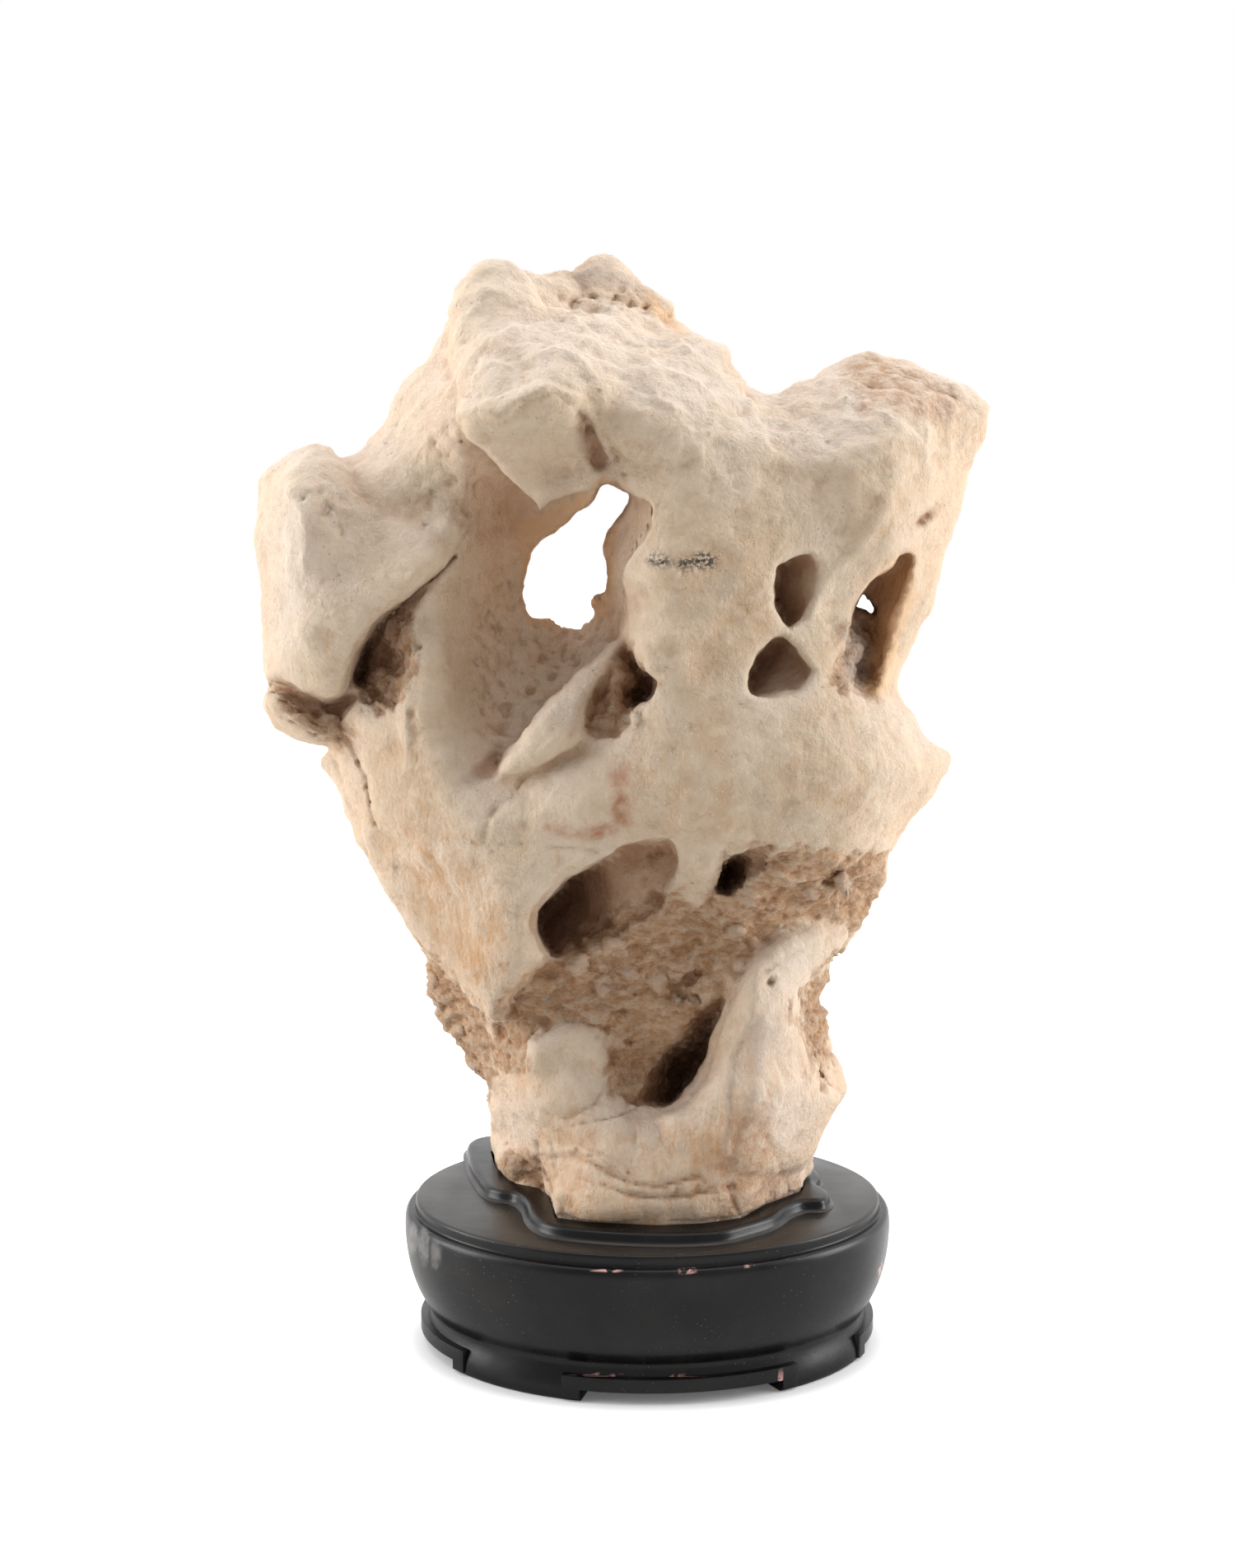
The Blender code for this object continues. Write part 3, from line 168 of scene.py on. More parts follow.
# Reliefs: spot depths (u, v, millimetres along Y)
BODY_FRONT = [
    (610, 335, -4), (560, 390, -6), (660, 350, 4), (727, 325, 16), (700, 372, 10), (770, 365, 16),
    (810, 400, 10), (540, 450, -14), (500, 490, -16), (560, 480, -30), (640, 440, -26), (740, 440, -28),
    (860, 450, -22), (480, 530, -20), (450, 590, -24), (560, 560, -34), (520, 620, -28), (640, 530, -34),
    (740, 530, -38), (820, 540, -46), (900, 520, -40), (960, 500, -24), (1000, 560, -40), (1060, 450, -8),
    (1082, 510, -30), (1078, 570, -41), (1120, 570, -27), (1185, 500, -4), (1160, 580, -9), (1086, 630, -38),
    (1135, 660, -15),
    (330, 600, -2), (400, 620, -14), (340, 750, -2), (430, 740, -12), (400, 820, -8), (345, 870, -2),
    (550, 650, -32), (520, 730, -34), (508, 800, -38), (505, 870, -40), (540, 930, -43), (470, 800, -14),
    (620, 610, 0), (600, 680, -4), (585, 740, -8), (575, 810, -18), (640, 775, 2), (690, 785, 4), (620, 850, -14),
    (600, 890, -22), (730, 750, 8), (660, 830, -8), (640, 690, 6), (790, 620, -48), (860, 640, -53),
    (920, 620, -50), (775, 700, -48), (840, 720, -55), (905, 720, -53), (775, 780, -50), (850, 800, -56),
    (1010, 650, -42), (1000, 720, -40), (957, 768, -48), (1005, 780, -43), (1120, 700, -22), (1100, 760, -20),
    (1080, 810, -24), (1040, 870, -42), (1110, 900, -28), (1150, 915, -10), (1110, 950, -28), (1060, 960, -42),
    (430, 880, -22), (480, 900, -32), (410, 930, -10), (450, 980, -22), (520, 1000, -38), (600, 990, -48),
    (680, 950, -51), (760, 930, -53), (850, 900, -57), (940, 900, -56), (1000, 940, -53), (850, 990, -57),
    (960, 1000, -50), (1040, 1020, -38), (720, 1010, -52), (560, 1060, -40), (500, 1090, -18), (620, 1090, -38),
    (560, 1150, -20), (700, 1180, -27), (780, 1160, -25), (850, 1110, -30), (940, 1080, -36), (1040, 1080, -22),
    (860, 1170, -27), (640, 1230, -22), (730, 1230, -27), (800, 1230, -25), (545, 1210, 2), (575, 1280, 4),
    (620, 1290, -14), (640, 1340, -24), (760, 1300, -24), (820, 1300, -18), (900, 1200, -32), (1000, 1190, -4),
    (990, 1260, -8), (1015, 1310, -4), (950, 1320, -36), (1000, 1350, -14), (605, 1390, 24), (625, 1400, 2),
    (660, 1390, -22), (700, 1390, -36), (800, 1390, -42), (890, 1390, -42), (940, 1390, -32), (975, 1400, -14),
    (690, 1470, -40), (800, 1480, -45), (900, 1470, -40), (965, 1450, -16), (640, 1440, -4)]
BODY_BACK = [
    (600, 340, 22), (727, 325, 34), (800, 400, 36), (660, 420, 30), (560, 420, 18), (500, 500, 20),
    (600, 540, 26), (740, 500, 44), (860, 480, 40), (960, 520, 34), (1060, 460, 22), (1150, 500, 20),
    (1100, 580, 30), (340, 600, 16), (430, 620, 24), (340, 760, 14), (430, 760, 26), (345, 870, 12),
    (520, 680, 22), (600, 680, 24), (560, 800, 34), (700, 780, 32), (800, 640, 30), (780, 740, 34),
    (880, 600, 44), (900, 740, 48), (1000, 680, 40), (1080, 740, 26), (1140, 650, 12), (430, 900, 24),
    (520, 920, 40), (640, 900, 50), (780, 900, 54), (920, 880, 54), (1040, 900, 40), (1140, 915, 6),
    (430, 960, 16), (500, 1020, 34), (620, 1040, 52), (760, 1040, 44), (900, 1020, 52), (1030, 1020, 34),
    (510, 1110, 20), (600, 1140, 44), (720, 1160, 52), (850, 1160, 44), (960, 1140, 40), (1040, 1100, 20),
    (540, 1210, 20), (620, 1240, 42), (740, 1280, 38), (880, 1260, 46), (1000, 1200, 16), (1020, 1310, 14),
    (600, 1330, 34), (680, 1360, 48), (800, 1380, 42), (920, 1360, 48), (990, 1350, 26), (610, 1400, 40),
    (700, 1450, 46), (820, 1460, 46), (930, 1440, 40), (975, 1430, 20)]
LOBE_FRONT = [
    (332, 590, -14), (352, 590, -32), (380, 570, -24), (385, 606, -38), (420, 600, -26), (425, 640, -33),
    (326, 680, -14), (356, 680, -36), (372, 660, -41), (395, 700, -39), (450, 680, -38), (500, 680, -42),
    (545, 680, -40), (335, 770, -16), (362, 770, -36), (400, 770, -40), (440, 740, -42), (350, 820, -26),
    (400, 835, -34), (420, 800, -39), (480, 640, -32)]
TOOTH_FRONT = [
    (560, 486, -43), (600, 468, -45), (655, 450, -44), (705, 455, -45), (560, 503, -52), (600, 500, -59),
    (655, 476, -59), (695, 484, -56), (600, 545, -49), (650, 550, -44), (700, 560, -38), (655, 620, -38),
    (728, 580, -40), (735, 520, -46)]
BLADE_FRONT = [
    (604, 940, -50), (640, 915, -52), (660, 870, -48), (700, 860, -44), (720, 820, -38), (755, 788, -30),
    (700, 905, -50)]
SKIRT_FRONT = [
    (460, 1030, -18), (520, 1000, -34), (620, 1000, -48), (720, 1030, -50), (520, 1090, -26), (600, 1080, -46),
    (650, 1110, -48), (560, 1140, -32), (620, 1160, -46), (600, 1225, -40), (660, 1160, -44)]
FLANGE_FRONT = [
    (1020, 1140, -16), (950, 1145, -36), (915, 1180, -44), (930, 1240, -49), (890, 1270, -42), (925, 1320, -50),
    (960, 1270, -34), (860, 1330, -44), (990, 1340, -22), (820, 1400, -42), (900, 1400, -46), (965, 1390, -26)]

# The stone's foot and the collar round it, in plan, millimetres
FOOT = [
    (-48, 32), (-46, 20), (-42, 5), (-37, -3), (-28, -8), (-23, -20), (-21, -38), (-10, -42), (14, -45),
    (30, -43), (43, -38), (52, -25), (66, -11), (69, 4), (62, 20), (45, 33), (20, 38), (-10, 40), (-34, 42)]
COLLAR = [
    (-57, 30), (-55, 17), (-52, 6), (-48, -6), (-43, -11), (-37, -14), (-33, -22), (-31, -33), (-27, -42),
    (-19, -48), (-5, -52), (11, -54), (24, -54), (35, -52), (43, -47), (54, -38), (60, -28), (66, -22),
    (73, -21), (76, -16), (76, -9), (73, -2), (75, 8), (71, 22), (60, 32), (49, 41), (34, 43), (20, 47),
    (4, 46), (-12, 50), (-30, 49), (-38, 53), (-52, 52), (-58, 44)]

# The back, hidden from the camera: ridges as (outline, depth), then hollows as (outline, floor depth)
BACK_RIDGES = [
    ([(840, 470), (905, 520), (890, 700), (850, 890), (800, 900), (790, 760), (812, 600)], 60),
    ([(430, 880), (520, 850), (640, 850), (760, 890), (745, 960), (600, 935), (460, 955)], 59),
    ([(560, 1020), (700, 1010), (820, 1050), (920, 1120), (870, 1165), (720, 1105), (580, 1095)], 62),
    ([(990, 880), (1070, 850), (1125, 905), (1090, 965), (1005, 965)], 50),
    ([(630, 1240), (760, 1215), (850, 1250), (800, 1300), (680, 1300)], 54),
    ([(560, 500), (640, 470), (720, 500), (700, 560), (590, 590)], 46)]
BACK_HOLLOWS = [
    ([(600, 600), (660, 560), (740, 548), (796, 590), (790, 680), (770, 770), (690, 806), (610, 770),
      (582, 690)], 13),
    ([(905, 560), (960, 536), (1012, 566), (1004, 640), (940, 664), (900, 625)], 18),
    ([(880, 785), (935, 760), (962, 815), (935, 880), (872, 868)], 20),
    ([(470, 700), (536, 684), (562, 756), (520, 826), (470, 792)], 19),
    ([(560, 960), (640, 940), (706, 962), (690, 1004), (600, 1006)], 22),
    ([(815, 960), (900, 936), (972, 978), (940, 1046), (840, 1034)], 22),
    ([(620, 1140), (700, 1112), (744, 1160), (690, 1212), (622, 1196)], 25),
    ([(862, 1184), (930, 1160), (962, 1222), (900, 1280), (850, 1246)], 20),
    ([(372, 640), (430, 616), (452, 690), (400, 748), (362, 702)], 7),
    ([(745, 1312), (800, 1304), (842, 1334), (800, 1376), (740, 1364)], 30),
    ([(640, 400), (720, 380), (786, 420), (730, 462), (650, 452)], 20),
    ([(1050, 560), (1110, 540), (1132, 600), (1080, 640), (1040, 612)], 6)]

# Stand section: (outset from the plateau's edge, height), millimetres, from the ground up
STAND_SECTION = [
    (-3.1, 0.0), (-2.4, 0.8), (-2.2, 2.6), (-2.6, 5.0), (-3.4, 7.6), (-4.4, 10.4), (-5.0, 13.2), (-3.8, 15.4),
    (-1.6, 18.9), (0.8, 24.4), (2.6, 31.0), (3.6, 37.9), (3.9, 43.9), (3.6, 47.9), (2.9, 49.6), (2.0, 50.1),
    (0.7, 50.1), (0.1, 50.5), (-0.1, 52.9), (-0.5, 53.8), (-1.4, 54.1)]
PANELS = [(-21.2, 38.3), (65.0, 115.0), (141.7, 201.2), (231.5, 308.5)]

# The stand's fine form: the collar's section is (outset from its outline, height), millimetres
OVAL_STEPS = 240
COLLAR_SECTION = [
    (1.6, -1.5), (1.5, 0.2), (0.6, 0.7), (0.0, 1.6), (-0.1, 2.8), (-0.5, 3.6), (-1.3, 4.15), (-2.6, 4.3)]
# Where the lacquer has chipped, as sights: (u, v, half width, half height)
CHIPS = [
    (828, 1521, 9, 2), (836, 1543, 10, 4), (738, 1543, 20, 2), (910, 1537, 6, 2), (721, 1670, 6, 3),
    (748, 1671, 5, 3), (820, 1671, 7, 3), (864, 1684, 13, 3), (888, 1682, 4, 2), (948, 1677, 4, 2),
    (1069, 1541, 2, 8)]
# Pale streaks on the drum's left side: partly smear marks, partly a painted reflection of the left lamp.
SMEARS_AND_REFLECTIONS = [(502, 1503, 6, 22), (515, 1512, 7, 27), (529, 1522, 6, 21)]

# Light: the white surround is brighter behind the object than in front of it
FRONT_SURROUND = 0.34
BACK_SURROUND = 1.4
FLOOR_GLOW = 0.56
FLOOR_WHITE = 0.97
FRONT_BOUNCE = 0.58
BACK_BOUNCE = 1.0
TOP_POWER = 4.8
LEFT_POWER = 11.0
RIGHT_POWER = 11.5

# Surface features, as sights. Pits and nodules: (u, v, radius in pixels, millimetres)
PITS = [
    (695, 371, 9, 3.0), (746, 367, 11, 4.0), (782, 379, 10, 4.0), (806, 390, 10, 3.5), (722, 366, 8, 2.5),
    (764, 372, 8, 2.5), (676, 366, 8, 2.0), (395, 620, 12, 3.0), (388, 600, 8, 1.6), (408, 640, 8, 1.2),
    (570, 484, 5, 2.6), (715, 520, 9, 2.5), (708, 506, 7, 2.2), (722, 546, 6, 2.2), (750, 557, 5, 1.6),
    (760, 577, 5, 1.6), (616, 862, 11, 2.6), (576, 838, 5, 1.6), (598, 762, 5, 1.8), (604, 780, 4, 1.8),
    (594, 742, 4, 1.6), (660, 800, 9, 2.2), (672, 824, 9, 2.4), (688, 792, 8, 2.0), (700, 806, 8, 2.0),
    (645, 838, 7, 1.6), (935, 1193, 6, 3.0), (990, 1279, 9, 3.2), (994, 1306, 8, 3.0), (880, 1050, 12, 5.0),
    (887, 1068, 11, 4.5), (1003, 1064, 14, 5.0), (1014, 1056, 9, 3.5), (820, 1198, 9, 4.0), (836, 1188, 9, 4.0),
    (848, 1182, 6, 3.0), (845, 1212, 9, 4.0), (853, 1232, 9, 3.0), (652, 1258, 8, 2.4), (626, 1266, 10, 2.4),
    (610, 1252, 8, 2.0), (756, 1226, 5, 2.4), (764, 1264, 7, 2.4), (770, 1208, 4, 2.2), (604, 930, 6, 3.0),
    (412, 894, 6, 2.5), (452, 972, 5, 2.0), (446, 956, 5, 2.0), (438, 925, 6, 2.4), (395, 855, 7, 2.0),
    (385, 868, 8, 2.4), (368, 862, 7, 2.0), (485, 1052, 6, 1.2), (549, 1085, 3, 0.8), (440, 862, 4, 0.9),
    (793, 1040, 9, 2.2), (802, 1034, 7, 2.0), (784, 1066, 6, 1.4), (500, 866, 7, 1.6), (482, 852, 7, 1.8),
    (474, 812, 8, 2.2), (488, 790, 7, 2.0), (1126, 628, 6, 1.4), (1042, 806, 7, 1.8), (1050, 788, 6, 1.6),
    (630, 1430, 7, 1.4), (616, 1412, 7, 1.4), (641, 1412, 6, 1.0), (846, 1445, 6, 0.9), (822, 1446, 6, 0.9),
    (864, 1440, 5, 0.8), (524, 596, 5, 1.4), (516, 640, 5, 1.4), (566, 624, 5, 1.2), (596, 590, 5, 1.2),
    (545, 530, 5, 1.4), (560, 536, 5, 1.3), (536, 552, 5, 1.2), (484, 517, 4, 1.2), (470, 540, 4, 1.0),
    (595, 440, 5, 0.9), (617, 400, 5, 0.9), (660, 424, 4, 0.9), (566, 418, 4, 0.8), (840, 426, 6, 0.9),
    (858, 430, 6, 0.9), (804, 450, 5, 0.9), (948, 494, 4, 0.8), (1008, 500, 3, 0.7), (1006, 540, 3, 0.8)]
NODULES = [
    (700, 1172, 16, 4.5), (1027, 1073, 13, 6.0), (798, 1192, 12, 3.2), (840, 1216, 9, 4.2), (822, 1211, 8, 3.6),
    (764, 1182, 10, 2.4), (733, 1198, 13, 2.0), (664, 1214, 7, 1.8), (610, 1238, 8, 1.4), (748, 1150, 15, 1.8),
    (893, 1132, 11, 1.8), (908, 1090, 14, 2.0), (985, 1085, 9, 2.4), (711, 731, 7, 3.0), (724, 727, 6, 2.4),
    (738, 668, 7, 1.6), (1046, 775, 9, 2.4), (1036, 800, 9, 2.4), (768, 872, 10, 2.0), (524, 1190, 9, 2.4),
    (530, 1222, 9, 2.4), (556, 1252, 9, 2.4), (575, 1296, 9, 2.4)]

# Grooves and ridges: (sights along it, half width in pixels, millimetres)
GROOVES = [
    ([(455, 760), (480, 738), (504, 716), (530, 698), (552, 676)], 5, 5.0),
    ([(553, 668), (562, 650), (570, 636)], 3, 1.6),
    ([(545, 1021), (584, 1024), (640, 1025), (690, 1028), (724, 1034)], 3, 0.8),
    ([(600, 985), (590, 1005), (586, 1020)], 5, 0.9),
    ([(575, 486), (572, 462), (580, 440), (592, 426)], 2.5, 0.9),
    ([(640, 940), (628, 962), (600, 985)], 8, 1.2),
    ([(421, 894), (432, 918), (446, 944), (452, 976), (458, 1000)], 5, 2.6),
    ([(400, 912), (412, 936), (424, 966), (440, 1004)], 4, 1.4),
    ([(326, 846), (350, 856), (376, 874), (396, 890)], 4, 1.8),
    ([(336, 868), (360, 878), (384, 892)], 3, 1.2),
    ([(697, 1366), (720, 1362), (748, 1358), (772, 1346)], 3, 1.2),
    ([(700, 1394), (722, 1412), (745, 1420), (764, 1424)], 3, 1.2),
    ([(765, 1450), (800, 1454), (840, 1450), (872, 1444), (890, 1440)], 5, 2.2),
    ([(770, 1438), (800, 1440), (830, 1432), (850, 1428)], 4, 1.5),
    ([(884, 1440), (892, 1462), (900, 1484)], 3, 1.2),
    ([(930, 1380), (944, 1410), (958, 1452)], 4, 1.2),
    ([(700, 1430), (740, 1440), (764, 1452)], 3, 0.9),
    ([(770, 1370), (772, 1392), (766, 1414)], 3, 0.6),
    ([(656, 1386), (658, 1424), (662, 1474)], 7, 2.8),
    ([(668, 1406), (700, 1404), (730, 1418), (760, 1434)], 5, 1.4),
    ([(836, 1342), (862, 1352), (880, 1366), (884, 1400)], 2.5, 0.7),
    ([(862, 1340), (880, 1332), (910, 1336), (934, 1342), (968, 1330)], 2.5, 0.6),
    ([(918, 1150), (905, 1172), (885, 1204), (872, 1240)], 3, 0.8),
    ([(1030, 1128), (1000, 1142), (965, 1156), (930, 1180)], 4, 1.2),
    ([(972, 1204), (968, 1240), (980, 1276), (998, 1312), (1016, 1330)], 5, 2.2),
    ([(880, 1036), (884, 1060), (874, 1080)], 6, 4.0),
    ([(600, 1226), (622, 1214), (650, 1200), (676, 1196)], 4, 1.0),
    ([(640, 1262), (656, 1246), (690, 1240), (730, 1246), (748, 1258)], 4, 0.9),
    ([(744, 1262), (744, 1300), (722, 1340), (690, 1358), (655, 1346)], 5, 1.2),
    ([(1064, 780), (1068, 810), (1062, 838)], 3, 1.2),
    ([(1030, 452), (1075, 456), (1120, 466), (1160, 486)], 3, 1.4),
    ([(1046, 470), (1090, 476), (1136, 492)], 2.5, 1.1),
    ([(1060, 440), (1090, 450), (1140, 470)], 2.5, 1.1)]
RIDGES = [
    ([(556, 502), (580, 496), (604, 506), (622, 492), (640, 480), (671, 470), (699, 486)], 7, 2.2),
    ([(381, 545), (366, 562), (347, 584), (352, 600), (365, 616), (372, 640), (368, 690)], 9, 1.6),
    ([(745, 812), (722, 826), (700, 852), (690, 884), (660, 910)], 7, 1.2),
    ([(919, 1160), (919, 1200), (912, 1237), (886, 1279), (880, 1330), (882, 1400)], 8, 1.4),
    ([(972, 1196), (961, 1221), (968, 1263), (984, 1302), (978, 1334)], 7, 1.6),
    ([(662, 1387), (670, 1399), (701, 1395), (730, 1408), (757, 1423)], 6, 2.4),
    ([(668, 1396), (671, 1430), (677, 1484)], 7, 2.0),
    ([(792, 612), (778, 655), (763, 690), (768, 740), (775, 772), (792, 808)], 9, 1.8),
    ([(540, 640), (560, 600), (566, 560), (548, 520)], 14, 2.0),
    ([(504, 742), (500, 800), (492, 860), (494, 930)], 11, 2.4),
    ([(760, 600), (800, 640), (760, 700)], 12, 0.6),
    ([(770, 500), (830, 540), (900, 560), (1000, 560), (1090, 530)], 26, 1.6),
    ([(1090, 560), (1082, 600), (1050, 660), (1010, 700), (985, 745)], 12, 1.4),
    ([(840, 1040), (850, 1070), (830, 1110), (815, 1130)], 9, 1.0),
    ([(640, 960), (640, 1000)], 16, -0.8),
    ([(704, 330), (727, 322), (752, 336)], 8, 1.0)]

# Where the surface changes, as outlines of sights
CRUMBLY = [
    [(596, 1228), (612, 1214), (640, 1190), (664, 1160), (706, 1134), (752, 1106), (796, 1090), (824, 1082),
     (842, 1096), (862, 1092), (874, 1060), (892, 1036), (920, 1024), (960, 1030), (1000, 1034), (1040, 1040), (1082, 1040),
     (1084, 1070), (1060, 1100), (1045, 1124), (1010, 1116), (960, 1118), (925, 1140), (905, 1165), (882, 1206),
     (862, 1240), (838, 1290), (800, 1340), (770, 1338), (735, 1330), (738, 1290), (744, 1262), (700, 1240),
     (656, 1246), (636, 1270), (640, 1300), (600, 1300), (590, 1262)],
    [(505, 1140), (530, 1160), (560, 1200), (590, 1240), (598, 1290), (592, 1335), (560, 1300), (500, 1220)],
    [(972, 1200), (1004, 1160), (1040, 1140), (1010, 1240), (1004, 1300), (1000, 1320), (984, 1290),
     (966, 1240)],
    [(612, 1398), (650, 1400), (664, 1420), (660, 1440), (620, 1436), (600, 1420)],
    [(1020, 760), (1064, 745), (1070, 800), (1066, 850), (1010, 830)],
    [(330, 838), (372, 862), (410, 872), (424, 890), (410, 906), (372, 884), (330, 860)],
    [(440, 800), (500, 730), (506, 780), (494, 850), (470, 872), (430, 840)],
    [(716, 882), (724, 848), (736, 824), (748, 800), (762, 784), (780, 812), (800, 828), (778, 852),
     (764, 874), (750, 894), (726, 896)]]
POROUS = [
    [(588, 700), (632, 676), (640, 748), (684, 760), (742, 740), (732, 790), (700, 814), (664, 850), (640, 890),
     (600, 905), (570, 860), (580, 780)],
    [(372, 590), (400, 580), (424, 600), (416, 650), (384, 650)],
    [(690, 360), (760, 352), (820, 400), (760, 384), (690, 376)],
    [(520, 520), (560, 510), (580, 560), (560, 640), (520, 650), (505, 590)],
        [(696, 500), (724, 510), (732, 560), (704, 560)]]
DIMPLED = [[(540, 480), (560, 330), (620, 310), (740, 310), (900, 430), (960, 480), (1060, 430), (1210, 490),
            (1170, 560), (1000, 560), (900, 600), (760, 580), (700, 480), (600, 490)]]
STREAKED = [[(600, 1310), (640, 1300), (660, 1345), (720, 1345), (772, 1345), (880, 1340), (900, 1230),
             (930, 1180), (965, 1250), (1026, 1310), (1000, 1480), (700, 1500), (610, 1440)],
            [(470, 1000), (520, 990), (640, 1120), (640, 1200), (590, 1230), (500, 1120)]]
RED_STAINS = [[(741, 926), (764, 928), (768, 960), (764, 1004), (748, 1006), (742, 965)],
              [(664, 1000), (700, 1008), (744, 1000), (748, 1012), (716, 1020), (660, 1010)]]
WARM_STAINS = [[(760, 900), (830, 860), (880, 880), (900, 960), (860, 1010), (780, 1000)],
               [(940, 900), (1030, 860), (1080, 900), (1060, 1000), (960, 1010), (900, 960)],
               [(820, 620), (900, 640), (930, 760), (860, 800), (790, 760)]]
SOOT = [(800, 681, 17, 9), (828, 685, 15, 6), (855, 681, 19, 12)]
BASE_STAINS = [[(612, 1400), (662, 1404), (664, 1428), (616, 1432)],
               [(770, 1432), (830, 1424), (882, 1430), (880, 1450), (800, 1456)],
               [(880, 1360), (930, 1340), (935, 1400), (900, 1450), (870, 1430)],
               [(860, 1440), (960, 1420), (985, 1450), (930, 1480), (870, 1480)],
               [(1020, 440), (1056, 430), (1110, 448), (1160, 470), (1176, 500), (1130, 515), (1080, 500),
                (1044, 505)]]
# Paler patches: the window's floor, painted bright as if lit through the window from behind (painted light), and a
# paler knob on top.
PALE_AND_LIT_PATCHES = [[(1018, 792), (1024, 766), (1046, 750), (1054, 780), (1052, 838), (1030, 832)],
                [(690, 352), (704, 326), (728, 318), (756, 332), (778, 352), (740, 350), (716, 348)]]
NODULE_PALENESS = 0.45
# Faces painted paler where the side lamps and the floor's bounce light them strongly: painted highlight.
PAINTED_LIT_FACES = [[(895, 1260), (912, 1200), (950, 1150), (1016, 1130), (1020, 1146), (985, 1184), (966, 1226), (970, 1280),
               (1010, 1330), (985, 1390), (940, 1410), (906, 1370)],
              [(600, 1330), (646, 1340), (652, 1400), (606, 1400)],
              [(940, 1360), (1000, 1360), (980, 1440), (940, 1450)],
              [(320, 580), (376, 570), (384, 700), (372, 800), (326, 800)]]
# Rims painted orange as if light shone through the stone from behind: painted glow.
PAINTED_GLOW_RIMS = [[(628, 640), (700, 600), (735, 580), (760, 590), (750, 640), (742, 745), (690, 760), (640, 756)],
                [(1016, 700), (1110, 668), (1112, 720), (1085, 800), (1072, 845), (1050, 845), (1060, 730)],
                [(790, 356), (836, 404), (820, 404), (780, 370)]]

# Colours as seen, 0 to 255
CREAM = (232, 213, 190)
BEIGE = (213, 187, 157)
GREY_CREAM = (215, 202, 183)
OCHRE = (204, 168, 130)
# Highlight colour, painted on faces turned up or towards the lamps
HIGHLIGHT_PALE = (232, 220, 209)
WARM_SHADE = (246, 216, 186)
STREAK = (206, 160, 118)
CRUMB = (210, 156, 112)
DARK_CRUMB = (160, 106, 68)
PALE_CRUMB = (238, 202, 166)
CRACK = (178, 134, 98)
STAIN = (186, 146, 118)
NODULE = (222, 204, 188)
# Brown of the painted shade in the hollows
HOLLOW_SHADE_BROWN = (150, 106, 78)
# Dark brown for small pits, which is painted shade, and for the stone's own dark specks
PIT_SHADE_AND_SPECK = (140, 110, 86)
RUST = (188, 132, 100)
SOOT_GREY = (72, 68, 66)
WHITE_SPECK = (236, 232, 226)
# Orange of the painted glow on rims lit through from behind
PAINTED_GLOW = (240, 190, 138)
LACQUER = (11, 11, 13)
LACQUER_DUST = (74, 68, 62)
# Grey of the dust specks, and of the smear marks with their painted reflection
SPECK_AND_REFLECTION_GREY = (150, 146, 142)
CHIP_PINK = (205, 160, 150)


def tint(colour):
    """A colour as seen, 0 to 255, as the shaders take it."""
    share = np.array(colour) / 255.0
    linear = np.where(share <= 0.04045, share / 12.92, ((share + 0.055) / 1.055) ** 2.4)
    return (*[float(value) for value in linear], 1.0)


# Objects and meshes

def add_object(name, mesh):
    thing = bpy.data.objects.new(name, mesh)
    bpy.context.scene.collection.objects.link(thing)
    return thing


def apply_modifiers(thing):
    """Make what the modifiers show the object's own mesh."""
    shown = bpy.context.evaluated_depsgraph_get()
    old = thing.data
    thing.data = bpy.data.meshes.new_from_object(thing.evaluated_get(shown))
    thing.modifiers.clear()
    bpy.data.meshes.remove(old)


def join(name, pieces):
    """One object from several, without the originals."""
    bm = bmesh.new()
    for piece in pieces:
        bm.from_mesh(piece.data)
        bpy.data.objects.remove(piece)
    mesh = bpy.data.meshes.new(name)
    bm.to_mesh(mesh)
    bm.free()
    return add_object(name, mesh)


def fuse(thing, size):
    step = thing.modifiers.new("fuse", 'REMESH')
    step.mode = 'VOXEL'
    step.voxel_size = size
    apply_modifiers(thing)


def combine(thing, other, operation):
    step = thing.modifiers.new(operation.lower(), 'BOOLEAN')
    step.operation = operation
    step.solver = 'EXACT'
    step.object = other
    apply_modifiers(thing)
    bpy.data.objects.remove(other)


def smooth(thing, factor, passes):
    step = thing.modifiers.new("smooth", 'SMOOTH')
    step.factor = factor
    step.iterations = passes
    apply_modifiers(thing)


# Sights and reliefs

def sight_to_world(u, v, depth):
    """World places of sights (u, v) at the given depths along Y; all are arrays."""
    across = (u - SIGHT_MIDDLE[0]) / SIGHT_SCALE
    up = (SIGHT_MIDDLE[1] - v) / SIGHT_SCALE
    forward = math.cos(SIGHT_PITCH) + up * math.sin(SIGHT_PITCH)
    rise = up * math.cos(SIGHT_PITCH) - math.sin(SIGHT_PITCH)
    reach = (depth - SIGHT_POINT.y) / forward
    return np.stack([SIGHT_POINT.x + across * reach, depth, SIGHT_POINT.z + rise * reach], axis=1)


def world_to_sight(places):
    """Where places are seen, as an array of (u, v)."""
    x, y, z = (places - np.array(SIGHT_POINT)).T
    forward = y * math.cos(SIGHT_PITCH) - z * math.sin(SIGHT_PITCH)
    up = y * math.sin(SIGHT_PITCH) + z * math.cos(SIGHT_PITCH)
    return np.stack([SIGHT_MIDDLE[0] + SIGHT_SCALE * x / forward,
                     SIGHT_MIDDLE[1] - SIGHT_SCALE * up / forward], axis=1)


